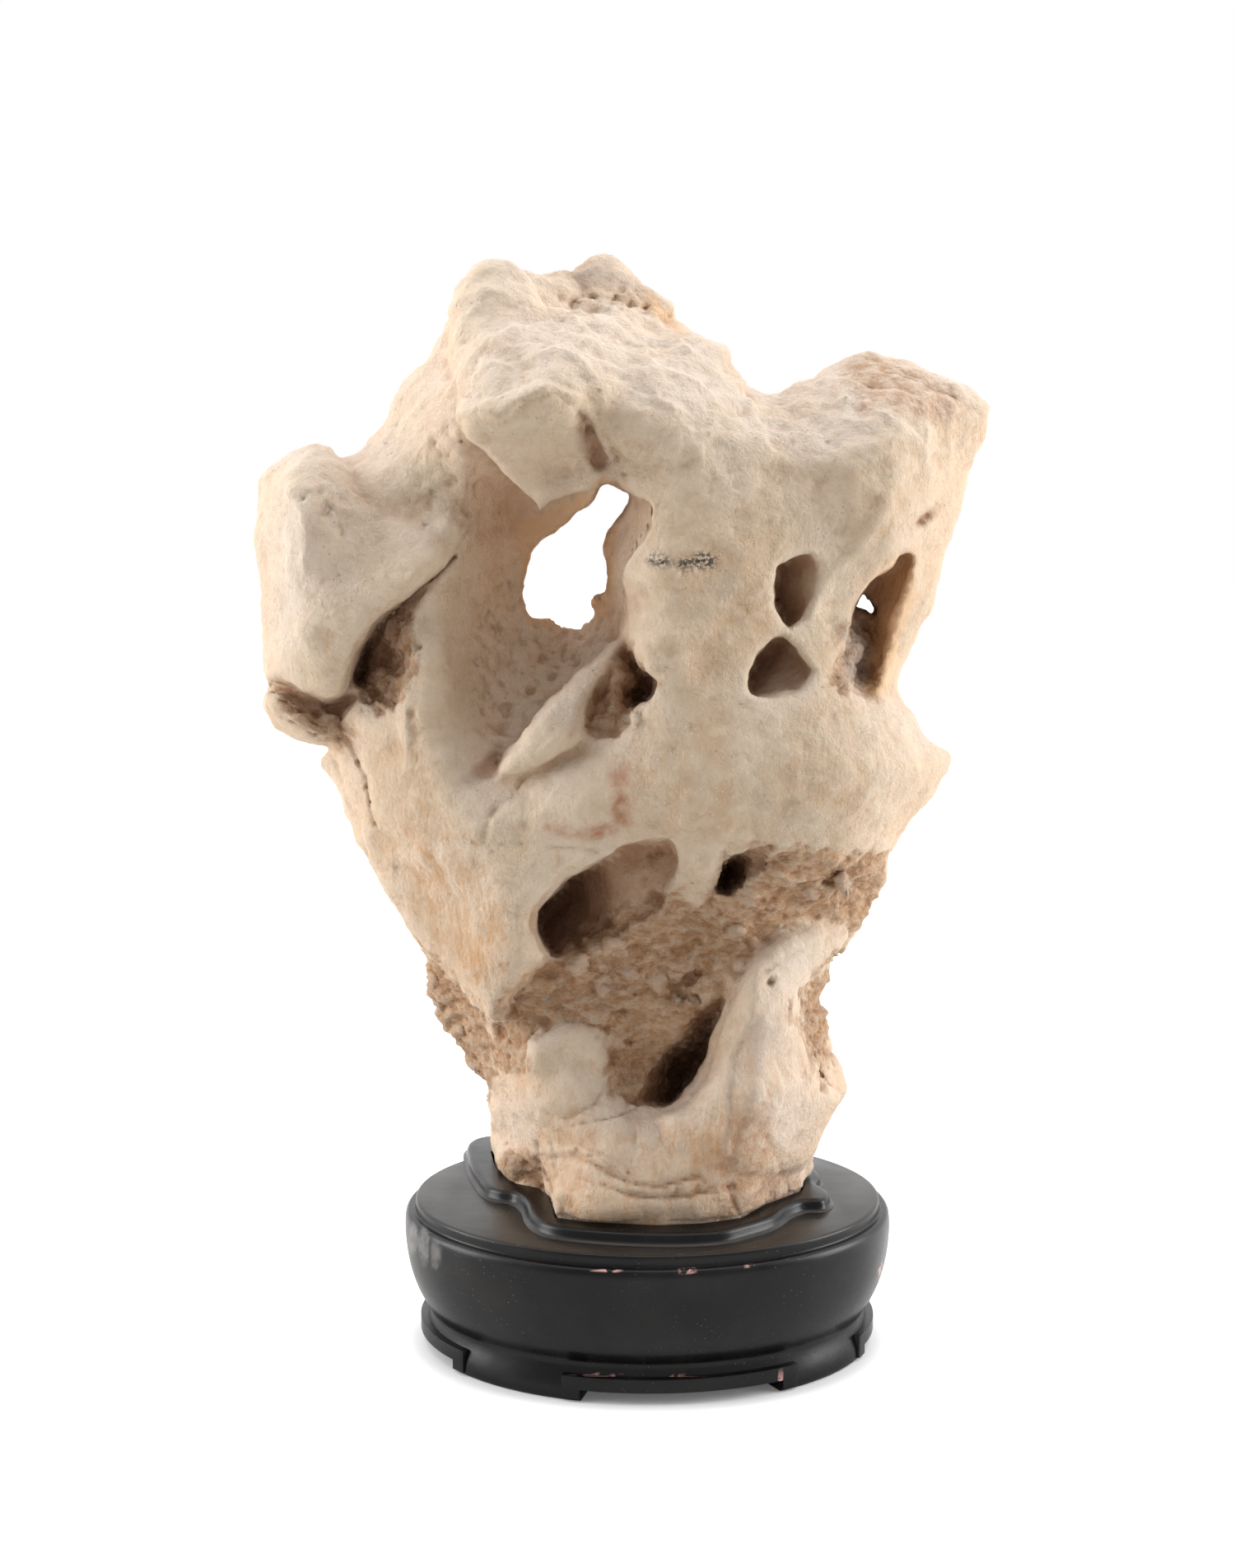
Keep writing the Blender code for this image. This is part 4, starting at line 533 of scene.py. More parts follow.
def relief(spots):
    """A smooth surface of depths through given spots, as a function of arrays u and v."""
    spots = np.array(spots, float)
    span = 100.0
    places = spots[:, :2] / span
    depths = spots[:, 2] * MM
    count = len(spots)

    def bend(a, b):
        squared = ((a[:, None, :] - b[None, :, :]) ** 2).sum(axis=2)
        return 0.5 * squared * np.log(squared + 1e-12)

    plane = np.column_stack([np.ones(count), places])
    system = np.zeros((count + 3, count + 3))
    system[:count, :count] = bend(places, places) + np.eye(count) * 1e-3
    system[:count, count:] = plane
    system[count:, :count] = plane.T
    weights = np.linalg.solve(system, np.append(depths, np.zeros(3)))

    def depth_at(u, v):
        here = np.column_stack([u, v]) / span
        bent = bend(here, places) @ weights[:count]
        flat = weights[count] + here @ weights[count + 1:]
        return np.clip(bent + flat, depths.min() - 2 * MM, depths.max() + 2 * MM)

    return depth_at


def level(depth):
    """A relief that is flat at one depth, in millimetres."""
    return lambda u, v: np.full(len(u), depth * MM)


def rounded(outline):
    """The outline with its corners cut twice."""
    for _ in range(2):
        cut = []
        for here, after in zip(outline, outline[1:] + outline[:1]):
            step = np.subtract(after, here)
            cut += [tuple(np.add(here, step * 0.25)), tuple(np.add(here, step * 0.75))]
        outline = cut
    return outline


def line_distance(points, line, closed=False):
    """Each point's distance to a line of points and its nearest place on it."""
    best = np.full(len(points), np.inf)
    nearest = np.zeros_like(points)
    ends = line[1:] + line[:1] if closed else line[1:]
    for start, end in zip(line, ends):
        start = np.array(start, float)
        along = np.array(end, float) - start
        share = np.clip((points - start) @ along / max(along @ along, 1e-9), 0.0, 1.0)
        place = start + share[:, None] * along
        distance = np.linalg.norm(points - place, axis=1)
        closer = distance < best
        best[closer] = distance[closer]
        nearest[closer] = place[closer]
    return best, nearest


def is_inside(points, outline):
    """Which points the outline encloses."""
    inside = np.zeros(len(points), bool)
    for (u0, v0), (u1, v1) in zip(outline, outline[1:] + outline[:1]):
        if v0 == v1:
            continue
        crosses = (points[:, 1] < v0) != (points[:, 1] < v1)
        where = u0 + (points[:, 1] - v0) * (u1 - u0) / (v1 - v0)
        inside ^= crosses & (points[:, 0] < where)
    return inside


def sighted_body(name, outline, front_sheet, back_sheet):
    """A closed body with this outline as sighted, between two sheets.

    A sheet gives depths from u, v and the distance to the outline.
    """
    corners = np.array(outline, float)
    low = corners.min(axis=0) - SIGHT_STEP
    high = corners.max(axis=0) + SIGHT_STEP
    cells = np.ceil((high - low) / SIGHT_STEP).astype(int)
    bm = bmesh.new()
    bmesh.ops.create_grid(bm, x_segments=int(cells[0]), y_segments=int(cells[1]), size=0.5)
    for vert in bm.verts:
        vert.co.x = low[0] + (vert.co.x + 0.5) * (high[0] - low[0])
        vert.co.y = low[1] + (vert.co.y + 0.5) * (high[1] - low[1])
    centres = np.array([face.calc_center_median()[:2] for face in bm.faces])
    kept = is_inside(centres, outline)
    outside = [face for face, keep in zip(bm.faces, kept) if not keep]
    bmesh.ops.delete(bm, geom=outside, context='FACES')

    rim = [vert for vert in bm.verts if vert.is_boundary]
    _, nearest = line_distance(np.array([vert.co[:2] for vert in rim]), outline, closed=True)
    for vert, place in zip(rim, nearest):
        vert.co.x, vert.co.y = place
    front = list(bm.verts)
    extruded = bmesh.ops.extrude_face_region(bm, geom=list(bm.faces), use_keep_orig=True)
    back = [item for item in extruded["geom"] if isinstance(item, bmesh.types.BMVert)]

    for verts, sheet in ((front, front_sheet), (back, back_sheet)):
        flat = np.array([vert.co[:2] for vert in verts])
        distance, _ = line_distance(flat, outline, closed=True)
        u, v = flat.T
        for vert, place in zip(verts, sight_to_world(u, v, sheet(u, v, distance))):
            vert.co = place
    bmesh.ops.remove_doubles(bm, verts=bm.verts, dist=1e-6)
    bmesh.ops.recalc_face_normals(bm, faces=bm.faces)
    mesh = bpy.data.meshes.new(name)
    bm.to_mesh(mesh)
    bm.free()
    return add_object(name, mesh)


def roundness(distance, edge):
    """0 at the outline, 1 from edge inwards, as a quarter circle."""
    inward = np.clip(distance / edge, 0.0, 1.0)
    return np.sqrt(1.0 - (1.0 - inward) ** 2)


def lump(name, outline, front, back, edge):
    """A rounded body: its two sheets meet at the outline."""
    def sheet(side):
        def depths(u, v, distance):
            middle = (front(u, v) + back(u, v)) / 2
            return middle + (side(u, v) - middle) * roundness(distance, edge)
        return depths
    return sighted_body(name, outline, sheet(front), sheet(back))


def hollow(name, outline, floor, wall, edge):
    """A cutter from in front of the stone down to a floor; its walls round off over the last millimetres."""
    def mouth(u, v, distance):
        return level(IN_FRONT)(u, v)

    def bottom(u, v, distance):
        return floor(u, v) - wall * MM * (1.0 - roundness(distance, edge))
    return sighted_body(name, outline, mouth, bottom)


def back_hollow(name, outline, floor, wall, edge):
    """The same from behind the stone."""
    def bottom(u, v, distance):
        return level(floor)(u, v) + wall * MM * (1.0 - roundness(distance, edge))

    def mouth(u, v, distance):
        return level(BEHIND)(u, v)
    return sighted_body(name, outline, bottom, mouth)


def tunnel(name, outline, start):
    """A cutter with straight sides from a depth out through the back."""
    def near(u, v, distance):
        return level(start)(u, v)

    def far(u, v, distance):
        return level(BEHIND)(u, v)
    return sighted_body(name, outline, near, far)


# The stone's forms

def stone_lumps():
    """Overlapping forms that grow together into the stone."""
    dome_front = relief([
        (600, 340, -10), (570, 420, -28), (660, 400, -24), (760, 410, -18), (860, 440, -20), (640, 460, -48),
        (600, 480, -52), (655, 475, -57), (560, 490, -46), (700, 480, -54), (740, 470, -46), (830, 500, -46),
        (880, 560, -46), (600, 520, -40), (660, 510, -40), (700, 540, -40)])
    return [
        lump("body", SILHOUETTE, relief(BODY_FRONT), relief(BODY_BACK), 62),
        lump("dome", DOME, dome_front, level(12), 60),
        lump("tooth", TOOTH, relief(TOOTH_FRONT), level(-30), 8),
        lump("left_lobe", LEFT_LOBE, relief(LOBE_FRONT), level(4), 22),
        lump("lower_lobe", LOWER_LOBE, level(-20), level(8), 24),
        lump("blade", BLADE, relief(BLADE_FRONT), level(-14), 10),
        lump("skirt", SKIRT, relief(SKIRT_FRONT), level(-10), 14),
        lump("boss", BOSS, level(-31), level(-12), 15),
        lump("flange", FLANGE, relief(FLANGE_FRONT), level(-4), 20),
        *[lump(f"back_ridge_{number}", rounded(outline), level(0), level(depth), 34)
          for number, (outline, depth) in enumerate(BACK_RIDGES, 1)]]


def stone_hollows():
    """Everything that weather took out of the stone."""
    window_floor = relief([
        (1100, 685, -14), (1085, 710, -8), (1060, 720, 2), (1056, 770, 2), (1052, 820, -8), (1036, 770, -14),
        (1036, 800, -19), (1028, 820, -26), (1080, 760, -14), (1070, 810, -18), (1055, 840, -24)])
    slit_floor = relief([
        (435, 808, 8), (446, 786, 2), (432, 826, 2), (470, 775, -18), (494, 760, -27), (470, 800, -20),
        (480, 835, -26), (495, 850, -32), (505, 722, -24), (545, 692, -30), (480, 745, -16)])
    blade_floor = relief([
        (774, 846, -8), (790, 832, -22), (800, 830, -30), (788, 850, -26), (765, 800, -25), (775, 815, -20),
        (745, 802, -34), (740, 830, -39), (725, 862, -41), (735, 888, -43), (755, 882, -41), (760, 860, -34),
        (752, 846, -36), (764, 834, -28)])
    flank_floor = relief([
        (740, 640, -8), (758, 640, -16), (788, 620, -34), (740, 690, -10), (755, 700, -22), (740, 740, -6),
        (758, 740, -18), (745, 775, -8), (775, 610, -26)])
    floor_a = relief([
        (943, 720, -19), (955, 690, -24), (965, 748, -27), (985, 690, -36), (1000, 682, -43), (990, 730, -40)])
    floor_b = relief([
        (914, 834, -30), (935, 800, -23), (960, 782, -28), (970, 810, -36), (988, 825, -45), (975, 840, -47),
        (950, 848, -50), (930, 849, -46)])
    floor_c = relief([
        (665, 1120, 14), (690, 1085, 14), (710, 1060, 2), (733, 1050, -19), (760, 1045, -25), (800, 1034, -29),
        (722, 1118, -8), (745, 1100, -21), (790, 1100, -27), (700, 1150, -15), (740, 1140, -23),
        (815, 1075, -31)])
    floor_d = relief([(878, 1072, -9), (890, 1050, -13), (915, 1035, -38), (925, 1045, -38), (905, 1070, -28)])
    floor_e = relief([
        (825, 1305, 16), (840, 1285, 14), (860, 1245, -2), (880, 1215, -18), (790, 1335, -14), (782, 1320, -22),
        (800, 1290, -8), (830, 1262, -8)])
    tooth_floor = relief([(700, 505, -50), (712, 520, -44), (724, 545, -36), (714, 565, -38)])
    notch_floor = relief([(556, 952, -43), (575, 945, -40), (600, 926, -30), (590, 955, -42)])
    return [
        tunnel("main_hole", MAIN_HOLE, IN_FRONT),
        tunnel("window_light", WINDOW_LIGHT, -20),
        hollow("window", WINDOW, window_floor, 5, 8),
        hollow("hole_flank", HOLE_FLANK, flank_floor, 2, 4),
        hollow("lobe_slit", LOBE_SLIT, slit_floor, 4, 6),
        hollow("lobe_crevice", LOBE_CREVICE, level(-6), 8, 8),
        hollow("basin_notch", BASIN_NOTCH, notch_floor, 4, 8),
        hollow("blade_pocket", BLADE_POCKET, blade_floor, 3, 4),
        hollow("pocket_a", POCKET_A, floor_a, 5, 12),
        hollow("pocket_b", POCKET_B, floor_b, 5, 12),
        hollow("pocket_c", POCKET_C, floor_c, 6, 16),
        hollow("pocket_d", POCKET_D, floor_d, 4, 8),
        hollow("pocket_e", POCKET_E, floor_e, 6, 14),
        hollow("tooth_pocket", TOOTH_POCKET, tooth_floor, 3, 7),
        hollow("arm_slit", ARM_SLIT, level(-14), 8, 8),
        *[back_hollow(f"back_hollow_{number}", rounded(outline), floor, 22, 34)
          for number, (outline, floor) in enumerate(BACK_HOLLOWS, 1)]]


# The stone's surface, as arrays of vertex places

def vertex_places(mesh):
    places = np.empty(len(mesh.vertices) * 3)
    mesh.vertices.foreach_get("co", places)
    return places.reshape(-1, 3)


def vertex_normals(mesh):
    normals = np.empty(len(mesh.vertices) * 3)
    mesh.vertex_normals.foreach_get("vector", normals)
    return normals.reshape(-1, 3)


def move_vertices(mesh, places):
    mesh.vertices.foreach_set("co", places.ravel())
    mesh.update()


def in_view(places, sights):
    """1 where the camera sees the surface, 0 behind it."""
    cell = 6.0
    fade = 5 * MM
    column, row = (sights / cell).astype(int).T
    nearest = np.full((int(VIEW_WIDTH / cell) + 2, int(VIEW_HEIGHT / cell) + 2), np.inf)
    column = np.clip(column, 0, nearest.shape[0] - 1)
    row = np.clip(row, 0, nearest.shape[1] - 1)
    np.minimum.at(nearest, (column, row), places[:, 1])
    behind = places[:, 1] - nearest[column, row]
    return np.clip(2.2 - behind / fade, 0.0, 1.0)


def area(sights, outlines, fade, wobble=0.0):
    """1 inside the outlines, 0 outside, turning over fade pixels; wobble moves the border about."""
    share = np.zeros(len(sights))
    for outline in outlines:
        distance, _ = line_distance(sights, outline, closed=True)
        signed = np.where(is_inside(sights, outline), distance, -distance) + wobble
        share = np.maximum(share, np.clip(0.5 + signed / fade, 0.0, 1.0))
    return share


def clouds(places, size, octaves=3, softness=1.0):
    """Noise, about -1 to 1; less softness makes its finer parts stronger."""
    return np.array([noise.fractal(place, softness, 2.0, octaves) for place in (places / size).tolist()])


def pores(places, size, reach, steepness=0.6):
    """1 in the middle of scattered round pores, 0 between them."""
    depth = np.empty(len(places))
    for number, place in enumerate((places / size).tolist()):
        distances, points = noise.voronoi(place)
        width = reach * (0.35 + 0.65 * noise.cell(points[0]))
        depth[number] = 1.0 - distances[0] / max(width, 0.01)
    return np.clip(depth, 0.0, 1.0) ** steepness


def scallops(places, size):
    """0 in the middle of each shallow scoop, rising to the crisp ridges between the scoops."""
    rise = np.empty(len(places))
    for number, place in enumerate((places / size).tolist()):
        distances, _ = noise.voronoi(Vector(place) + noise.noise_vector(place) * 0.5)
        rise[number] = distances[0] ** 2
    return rise


def brush(sights, where, radius):
    """A soft round dab: 1 in the middle, 0 from the radius on."""
    distance = np.linalg.norm(sights - np.array(where), axis=1) / radius
    return np.clip(1.0 - distance ** 2, 0.0, 1.0)


def drawn_features(sights):
    """How far the drawn pits, nodules, grooves and ridges push the surface away from the camera."""
    push = np.zeros(len(sights))
    for u, v, radius, depth in PITS:
        push += brush(sights, (u, v), radius) * depth * MM
    for u, v, radius, height in NODULES:
        push -= np.sqrt(brush(sights, (u, v), radius)) * height * MM
    for lines, sign in ((GROOVES, 1.0), (RIDGES, -1.0)):
        for line, half_width, depth in lines:
            distance, _ = line_distance(sights, line)
            push += sign * np.clip(1.0 - distance / half_width, 0.0, 1.0) * depth * MM
    return push


def carve(mesh):
    """Give the stone's surface its grain, crumbly rock, pores and drawn features."""
    places = vertex_places(mesh)
    sights = world_to_sight(places)
    seen = in_view(places, sights)
    ray = places - np.array(SIGHT_POINT)
    ray /= np.linalg.norm(ray, axis=1)[:, None]
    places += ray * (drawn_features(sights) * seen)[:, None]
    move_vertices(mesh, places)

    normals = vertex_normals(mesh)
    wobble = clouds(places, 0.006) * 14.0
    crumbly = area(sights, CRUMBLY, 10, wobble) * seen
    crumbly = np.maximum(crumbly, behind_share(places) * np.clip(clouds(places, 0.045) * 3.0, 0.0, 1.0) * 0.8)
    porous = area(sights, POROUS, 16, wobble) * seen
    dimpled = 0.35 + 0.65 * area(sights, DIMPLED, 60, wobble)
    rise = clouds(places * np.array([1.0, 1.0, 1.5]), 0.016) * 0.9 * MM
    rise += clouds(places, 0.0055, 3) * 0.34 * MM
    rise += clouds(places, 0.0026, 2) * 0.18 * MM
    rise += dimpled * (1.0 - crumbly) * scallops(places, 0.0115) * 3.0 * MM
    rise += dimpled * scallops(places * np.array([1.0, 1.0, 1.4]), 0.0055) * 1.1 * MM
    rise -= np.clip(1.0 - np.abs(clouds(places, 0.019, 4)) / 0.03, 0.0, 1.0) * 0.3 * MM
    rise += behind_share(places) * clouds(places, 0.026) * 3.0 * MM
    rise += crumbly * (clouds(places * np.array([0.8, 1.0, 1.3]), 0.013, 5, 0.55) * 2.3 - 0.4) * MM
    rise += crumbly * scallops(places * np.array([0.7, 1.0, 1.2]), 0.0065) * 1.3 * MM
    rise -= crumbly * pores(places, 0.0085, 0.4, 0.8) * 1.5 * MM
    rise += porous * clouds(places, 0.0045, 4) * 1.1 * MM
    rise -= porous * pores(places * np.array([1.0, 1.0, 0.7]), 0.0038, 0.6) * 1.3 * MM
    rise -= (1.0 - crumbly) * pores(places, 0.013, 0.08) * 0.5 * MM
    places += normals * rise[:, None]
    move_vertices(mesh, places)


def behind_share(places):
    """0 on the stone's front, 1 on its back."""
    return np.clip((places[:, 1] - 8 * MM) / (16 * MM), 0.0, 1.0)


def relaxed(places, edges, passes):
    """The places after each has moved towards its neighbours' middle so many times."""
    ends = np.concatenate([edges[:, 0], edges[:, 1]])
    others = np.concatenate([edges[:, 1], edges[:, 0]])
    count = np.maximum(np.bincount(ends, minlength=len(places)), 1)
    for _ in range(passes):
        middle = np.stack([np.bincount(ends, weights=places[others, axis], minlength=len(places)) / count
                           for axis in range(3)], axis=1)
        places = (places + middle) / 2
    return places


def mark(mesh, name, values):
    """Keep one number per vertex for the material."""
    layer = mesh.attributes.new(name, 'FLOAT', 'POINT')
    layer.data.foreach_set("value", np.ascontiguousarray(values, dtype=np.float32))


def measure(mesh):
    """Mark where the stone is crumbly, hollow, stained and so on, and where light and shade are painted into its
    colour.
    """
    places = vertex_places(mesh)
    normals = vertex_normals(mesh)
    sights = world_to_sight(places)
    seen = in_view(places, sights)
    edges = np.empty(len(mesh.edges) * 2, dtype=np.int64)
    mesh.edges.foreach_get("vertices", edges)
    edges = edges.reshape(-1, 2)
    wobble = clouds(places, 0.006) * 14.0
    crumbly = area(sights, CRUMBLY, 8, wobble) * seen
    crumbly = np.maximum(crumbly, behind_share(places) * np.clip(clouds(places, 0.045) * 3.0, 0.0, 1.0) * 0.8)
    mark(mesh, "crumbly", crumbly)
    mark(mesh, "porous", area(sights, POROUS, 24, wobble) * seen)
    mark(mesh, "streaked", area(sights, STREAKED, 60, wobble) * seen)
    mark(mesh, "rust", area(sights, RED_STAINS, 9, wobble * 0.3) * seen)
    mark(mesh, "warm", area(sights, WARM_STAINS, 70, wobble * 2.0) * seen)
    mark(mesh, "base_stain", area(sights, BASE_STAINS, 14, wobble * 0.8) * seen)
    soot = np.zeros(len(places))
    for u, v, half_width, half_height in SOOT:
        spread = ((sights - np.array([u, v])) / np.array([half_width, half_height])) ** 2
        soot = np.maximum(soot, np.clip(1.3 - spread.sum(axis=1), 0.0, 1.0))
    mark(mesh, "soot", soot * seen)
    # Paler nodules and patches; the patch in the window is painted light.
    pale_and_lit = area(sights, PALE_AND_LIT_PATCHES, 8, wobble * 0.4)
    for u, v, radius, _ in NODULES:
        pale_and_lit = np.maximum(pale_and_lit, brush(sights + wobble[:, None] * 0.3, (u, v), radius) * NODULE_PALENESS)
    mark(mesh, "pale_and_lit", pale_and_lit * seen)
    # Faces turned up, and the faces listed above, painted paler: painted highlight of the overhead and side lamps.
    painted_highlight = np.clip((relaxed(normals, edges, 12)[:, 2] - 0.05) / 0.75, 0.0, 1.0)
    mark(mesh, "painted_highlight", np.maximum(painted_highlight, area(sights, PAINTED_LIT_FACES, 50, wobble) * 0.8 * seen))
    fine = relaxed(places, edges, 6)
    wide = relaxed(fine, edges, 50)
    # Small pits, which the material paints darker on rough rock: painted shade.
    mark(mesh, "pitted", np.clip(((fine - places) * normals).sum(axis=1) / (0.45 * MM), -1.0, 1.0))
    # Wide concave places, which the material paints warmer and darker: painted shade.
    mark(mesh, "sunk", np.clip(((wide - places) * normals).sum(axis=1) / (3.0 * MM), -1.0, 1.0))
    # How far each place lies behind the rims round it; the material paints warm shade, the rims' glow and the hollows'
    # shade from this.
    recessed = deepness(places, sights)
    hollows = area(sights, [MAIN_HOLE, LOBE_SLIT, LOBE_CREVICE, BASIN_NOTCH, BLADE_POCKET, POCKET_A, POCKET_B,
                            POCKET_C, POCKET_D, POCKET_E, TOOTH_POCKET, ARM_SLIT, WINDOW], 8)
    mark(mesh, "recessed", recessed * seen)
    # Rims behind the front, painted orange: painted glow of light through the stone.
    mark(mesh, "glow", area(sights, PAINTED_GLOW_RIMS, 10) * np.clip(recessed * 5.0, 0.0, 1.0) * seen)
    # Inside the hollows, darker the deeper they lie: painted shade.
    mark(mesh, "deep", recessed * hollows * seen)


def deepness(places, sights):
    """How far the surface lies behind the rims round it, 0 to 1."""
    cell = 10.0
    around = 6
    full = 34 * MM
    start = 6 * MM
    column, row = (sights / cell).astype(int).T
    shape = (int(VIEW_WIDTH / cell) + 2, int(VIEW_HEIGHT / cell) + 2)
    nearest = np.full(shape, np.inf)
    np.minimum.at(nearest, (column, row), places[:, 1])
    rims = nearest.copy()
    for across in range(-around, around + 1):
        for down in range(-around, around + 1):
            moved = np.roll(np.roll(nearest, across, axis=0), down, axis=1)
            if across ** 2 + down ** 2 <= around ** 2:
                rims = np.minimum(rims, moved)
    return np.clip((places[:, 1] - rims[column, row] - start) / full, 0.0, 1.0)


def trim_foot(stone):
    """A flat underside and a foot inside the stand's socket."""
    foot = [(x * MM + SHIFT_X, y * MM) for x, y in FOOT]
    top = PLATEAU_HEIGHT + COLLAR_RISE + 0.0012
    around = plate("around_foot", [(-0.2, -0.2), (0.2, -0.2), (0.2, 0.2), (-0.2, 0.2)], -0.02, top)
    combine(around, plate("foot_core", foot, FOOT_BOTTOM, top + 0.01), 'DIFFERENCE')
    combine(stone, around, 'DIFFERENCE')


def keep_largest_piece(thing):
    """Drop crumbs that the cuts left loose."""
    bm = bmesh.new()
    bm.from_mesh(thing.data)
    waiting = set(bm.verts)
    pieces = []
    while waiting:
        piece = set()
        edge = [waiting.pop()]
        while edge:
            vert = edge.pop()
            piece.add(vert)
            near = {link.other_vert(vert) for link in vert.link_edges} & waiting
            waiting -= near
            edge.extend(near)
        pieces.append(piece)
    largest = max(pieces, key=len)
    crumbs = [vert for piece in pieces if piece is not largest for vert in piece]
    bmesh.ops.delete(bm, geom=crumbs, context='VERTS')
    bm.to_mesh(thing.data)
    bm.free()


def thin_out(thing, triangles):
    facets = thing.modifiers.new("facets", 'TRIANGULATE')
    facets.min_vertices = 4
    apply_modifiers(thing)
    thin = thing.modifiers.new("thin", 'DECIMATE')
    thin.ratio = min(1.0, triangles / len(thing.data.polygons))
    apply_modifiers(thing)


def make_stone():
    foot = [(x * MM + SHIFT_X, y * MM) for x, y in FOOT]
    lumps = stone_lumps()
    lumps.append(plate("foot", foot, FOOT_BOTTOM - 0.004, PLATEAU_HEIGHT + COLLAR_RISE + 0.009))
    stone = join("stone_surface", lumps)
    fuse(stone, FUSE_SIZE)
    hollows = join("hollows", stone_hollows())
    fuse(hollows, FUSE_SIZE)
    combine(stone, hollows, 'DIFFERENCE')
    fuse(stone, SURFACE_SIZE)
    smooth(stone, 0.5, 1)
    carve(stone.data)
    keep_largest_piece(stone)
    thin_out(stone, STONE_TRIANGLES)
    trim_foot(stone)
    keep_largest_piece(stone)
    measure(stone.data)
    stone.data.shade_smooth()
    stone.data.materials.clear()
    stone.data.materials.append(stone_material())
    return stone


# The stand

def oval_point(angle, outset):
    """A place on the oval, at an angle in degrees from its front, outset from the plateau's edge."""
    turn = math.radians(angle)
    return (STAND_CENTRE_X + SHIFT_X + (PLATEAU_HALF_LENGTH + outset) * math.sin(turn),
            -(PLATEAU_HALF_DEPTH + outset) * math.cos(turn))


def plate(name, outline, low, high):
    """A flat outline in plan, given thickness from low to high."""
    curve = bpy.data.curves.new(name, 'CURVE')
    curve.dimensions = '2D'
    curve.fill_mode = 'BOTH'
    curve.extrude = (high - low) / 2
    spline = curve.splines.new('POLY')
    spline.points.add(len(outline) - 1)
    for point, (x, y) in zip(spline.points, outline):
        point.co = (x, y, 0.0, 1.0)
    spline.use_cyclic_u = True
    drawn = add_object(name + "_outline", curve)
    shown = bpy.context.evaluated_depsgraph_get()
    mesh = bpy.data.meshes.new_from_object(drawn.evaluated_get(shown))
    mesh.name = name
    bm = bmesh.new()
    bm.from_mesh(mesh)
    bmesh.ops.remove_doubles(bm, verts=bm.verts, dist=1e-6)
    bmesh.ops.translate(bm, vec=(0.0, 0.0, (low + high) / 2), verts=bm.verts)
    bmesh.ops.recalc_face_normals(bm, faces=bm.faces)
    bm.to_mesh(mesh)
    bm.free()
    bpy.data.objects.remove(drawn)
    return add_object(name, mesh)


def flowing(points, steps, closed):
    """A smooth line through given points, with so many steps between each pair."""
    points = [np.array(point, float) for point in points]
    count = len(points)
    line = []
    for number in range(count if closed else count - 1):
        if closed:
            before, here, after, beyond = (points[(number + shift) % count] for shift in (-1, 0, 1, 2))
        else:
            before, here, after, beyond = (points[min(max(number + shift, 0), count - 1)]
                                           for shift in (-1, 0, 1, 2))
        for step in range(steps):
            t = step / steps
            line.append(tuple(0.5 * (2 * here + (after - before) * t
                                     + (2 * before - 5 * here + 4 * after - beyond) * t ** 2
                                     + (3 * here - before - 3 * after + beyond) * t ** 3)))
    if not closed:
        line.append(tuple(points[-1]))
    return line


def grown_outline(points, outset):
    """The plan outline in metres, moved outwards by outset."""
    count = len(points)
    moved = []
    for number in range(count):
        before = np.array(points[number - 1])
        after = np.array(points[(number + 1) % count])
        along = (after - before) / np.linalg.norm(after - before)
        here = np.array(points[number]) * MM
        moved.append((here[0] + along[1] * outset + SHIFT_X, here[1] - along[0] * outset))
    return moved


def stacked(name, rings):
    """A closed body from matching rings of places, capped at both ends."""
    count = len(rings[0])
    places = [place for ring in rings for place in ring]
    faces = [tuple(reversed(range(count))), tuple(range(len(places) - count, len(places)))]
    for level_number in range(len(rings) - 1):
        start = level_number * count
        for step in range(count):
            following = (step + 1) % count
            faces.append((start + step, start + following, start + count + following, start + count + step))
    mesh = bpy.data.meshes.new(name)
    mesh.from_pydata(places, [], faces)
    mesh.update()
    return add_object(name, mesh)


def stand_drum():
    """The oval bowl: its section carried round."""
    section = flowing(STAND_SECTION, 3, closed=False)
    rings = []
    for outset, height in section:
        rings.append([(*oval_point(360.0 * step / OVAL_STEPS, outset * MM), height * MM)
                      for step in range(OVAL_STEPS)])
    return stacked("stand_surface", rings)


def collar_ring():
    """The raised lip round the stone's foot: a soft moulding that follows the foot's outline."""
    outline = flowing(COLLAR, 4, closed=True)
    rings = []
    for outset, height in COLLAR_SECTION:
        rings.append([(x, y, PLATEAU_HEIGHT + height * MM) for x, y in grown_outline(outline, outset * MM)])
    return stacked("collar", rings)


def oval_strip(name, first, last, inner, outer, low, high):
    """Part of an oval ring, between two angles, two outsets and two heights."""
    steps = max(2, round(abs(last - first) / 1.5))
    angles = [first + (last - first) * step / steps for step in range(steps + 1)]
    outline = [oval_point(angle, outer) for angle in angles]
    outline += [oval_point(angle, inner) for angle in reversed(angles)]
    return plate(name, outline, low, high)


def soften_edges(thing, width, segments, least_angle):
    step = thing.modifiers.new("rounded", 'BEVEL')
    step.width = width
    step.segments = segments
    step.limit_method = 'ANGLE'
    step.angle_limit = math.radians(least_angle)
    apply_modifiers(thing)


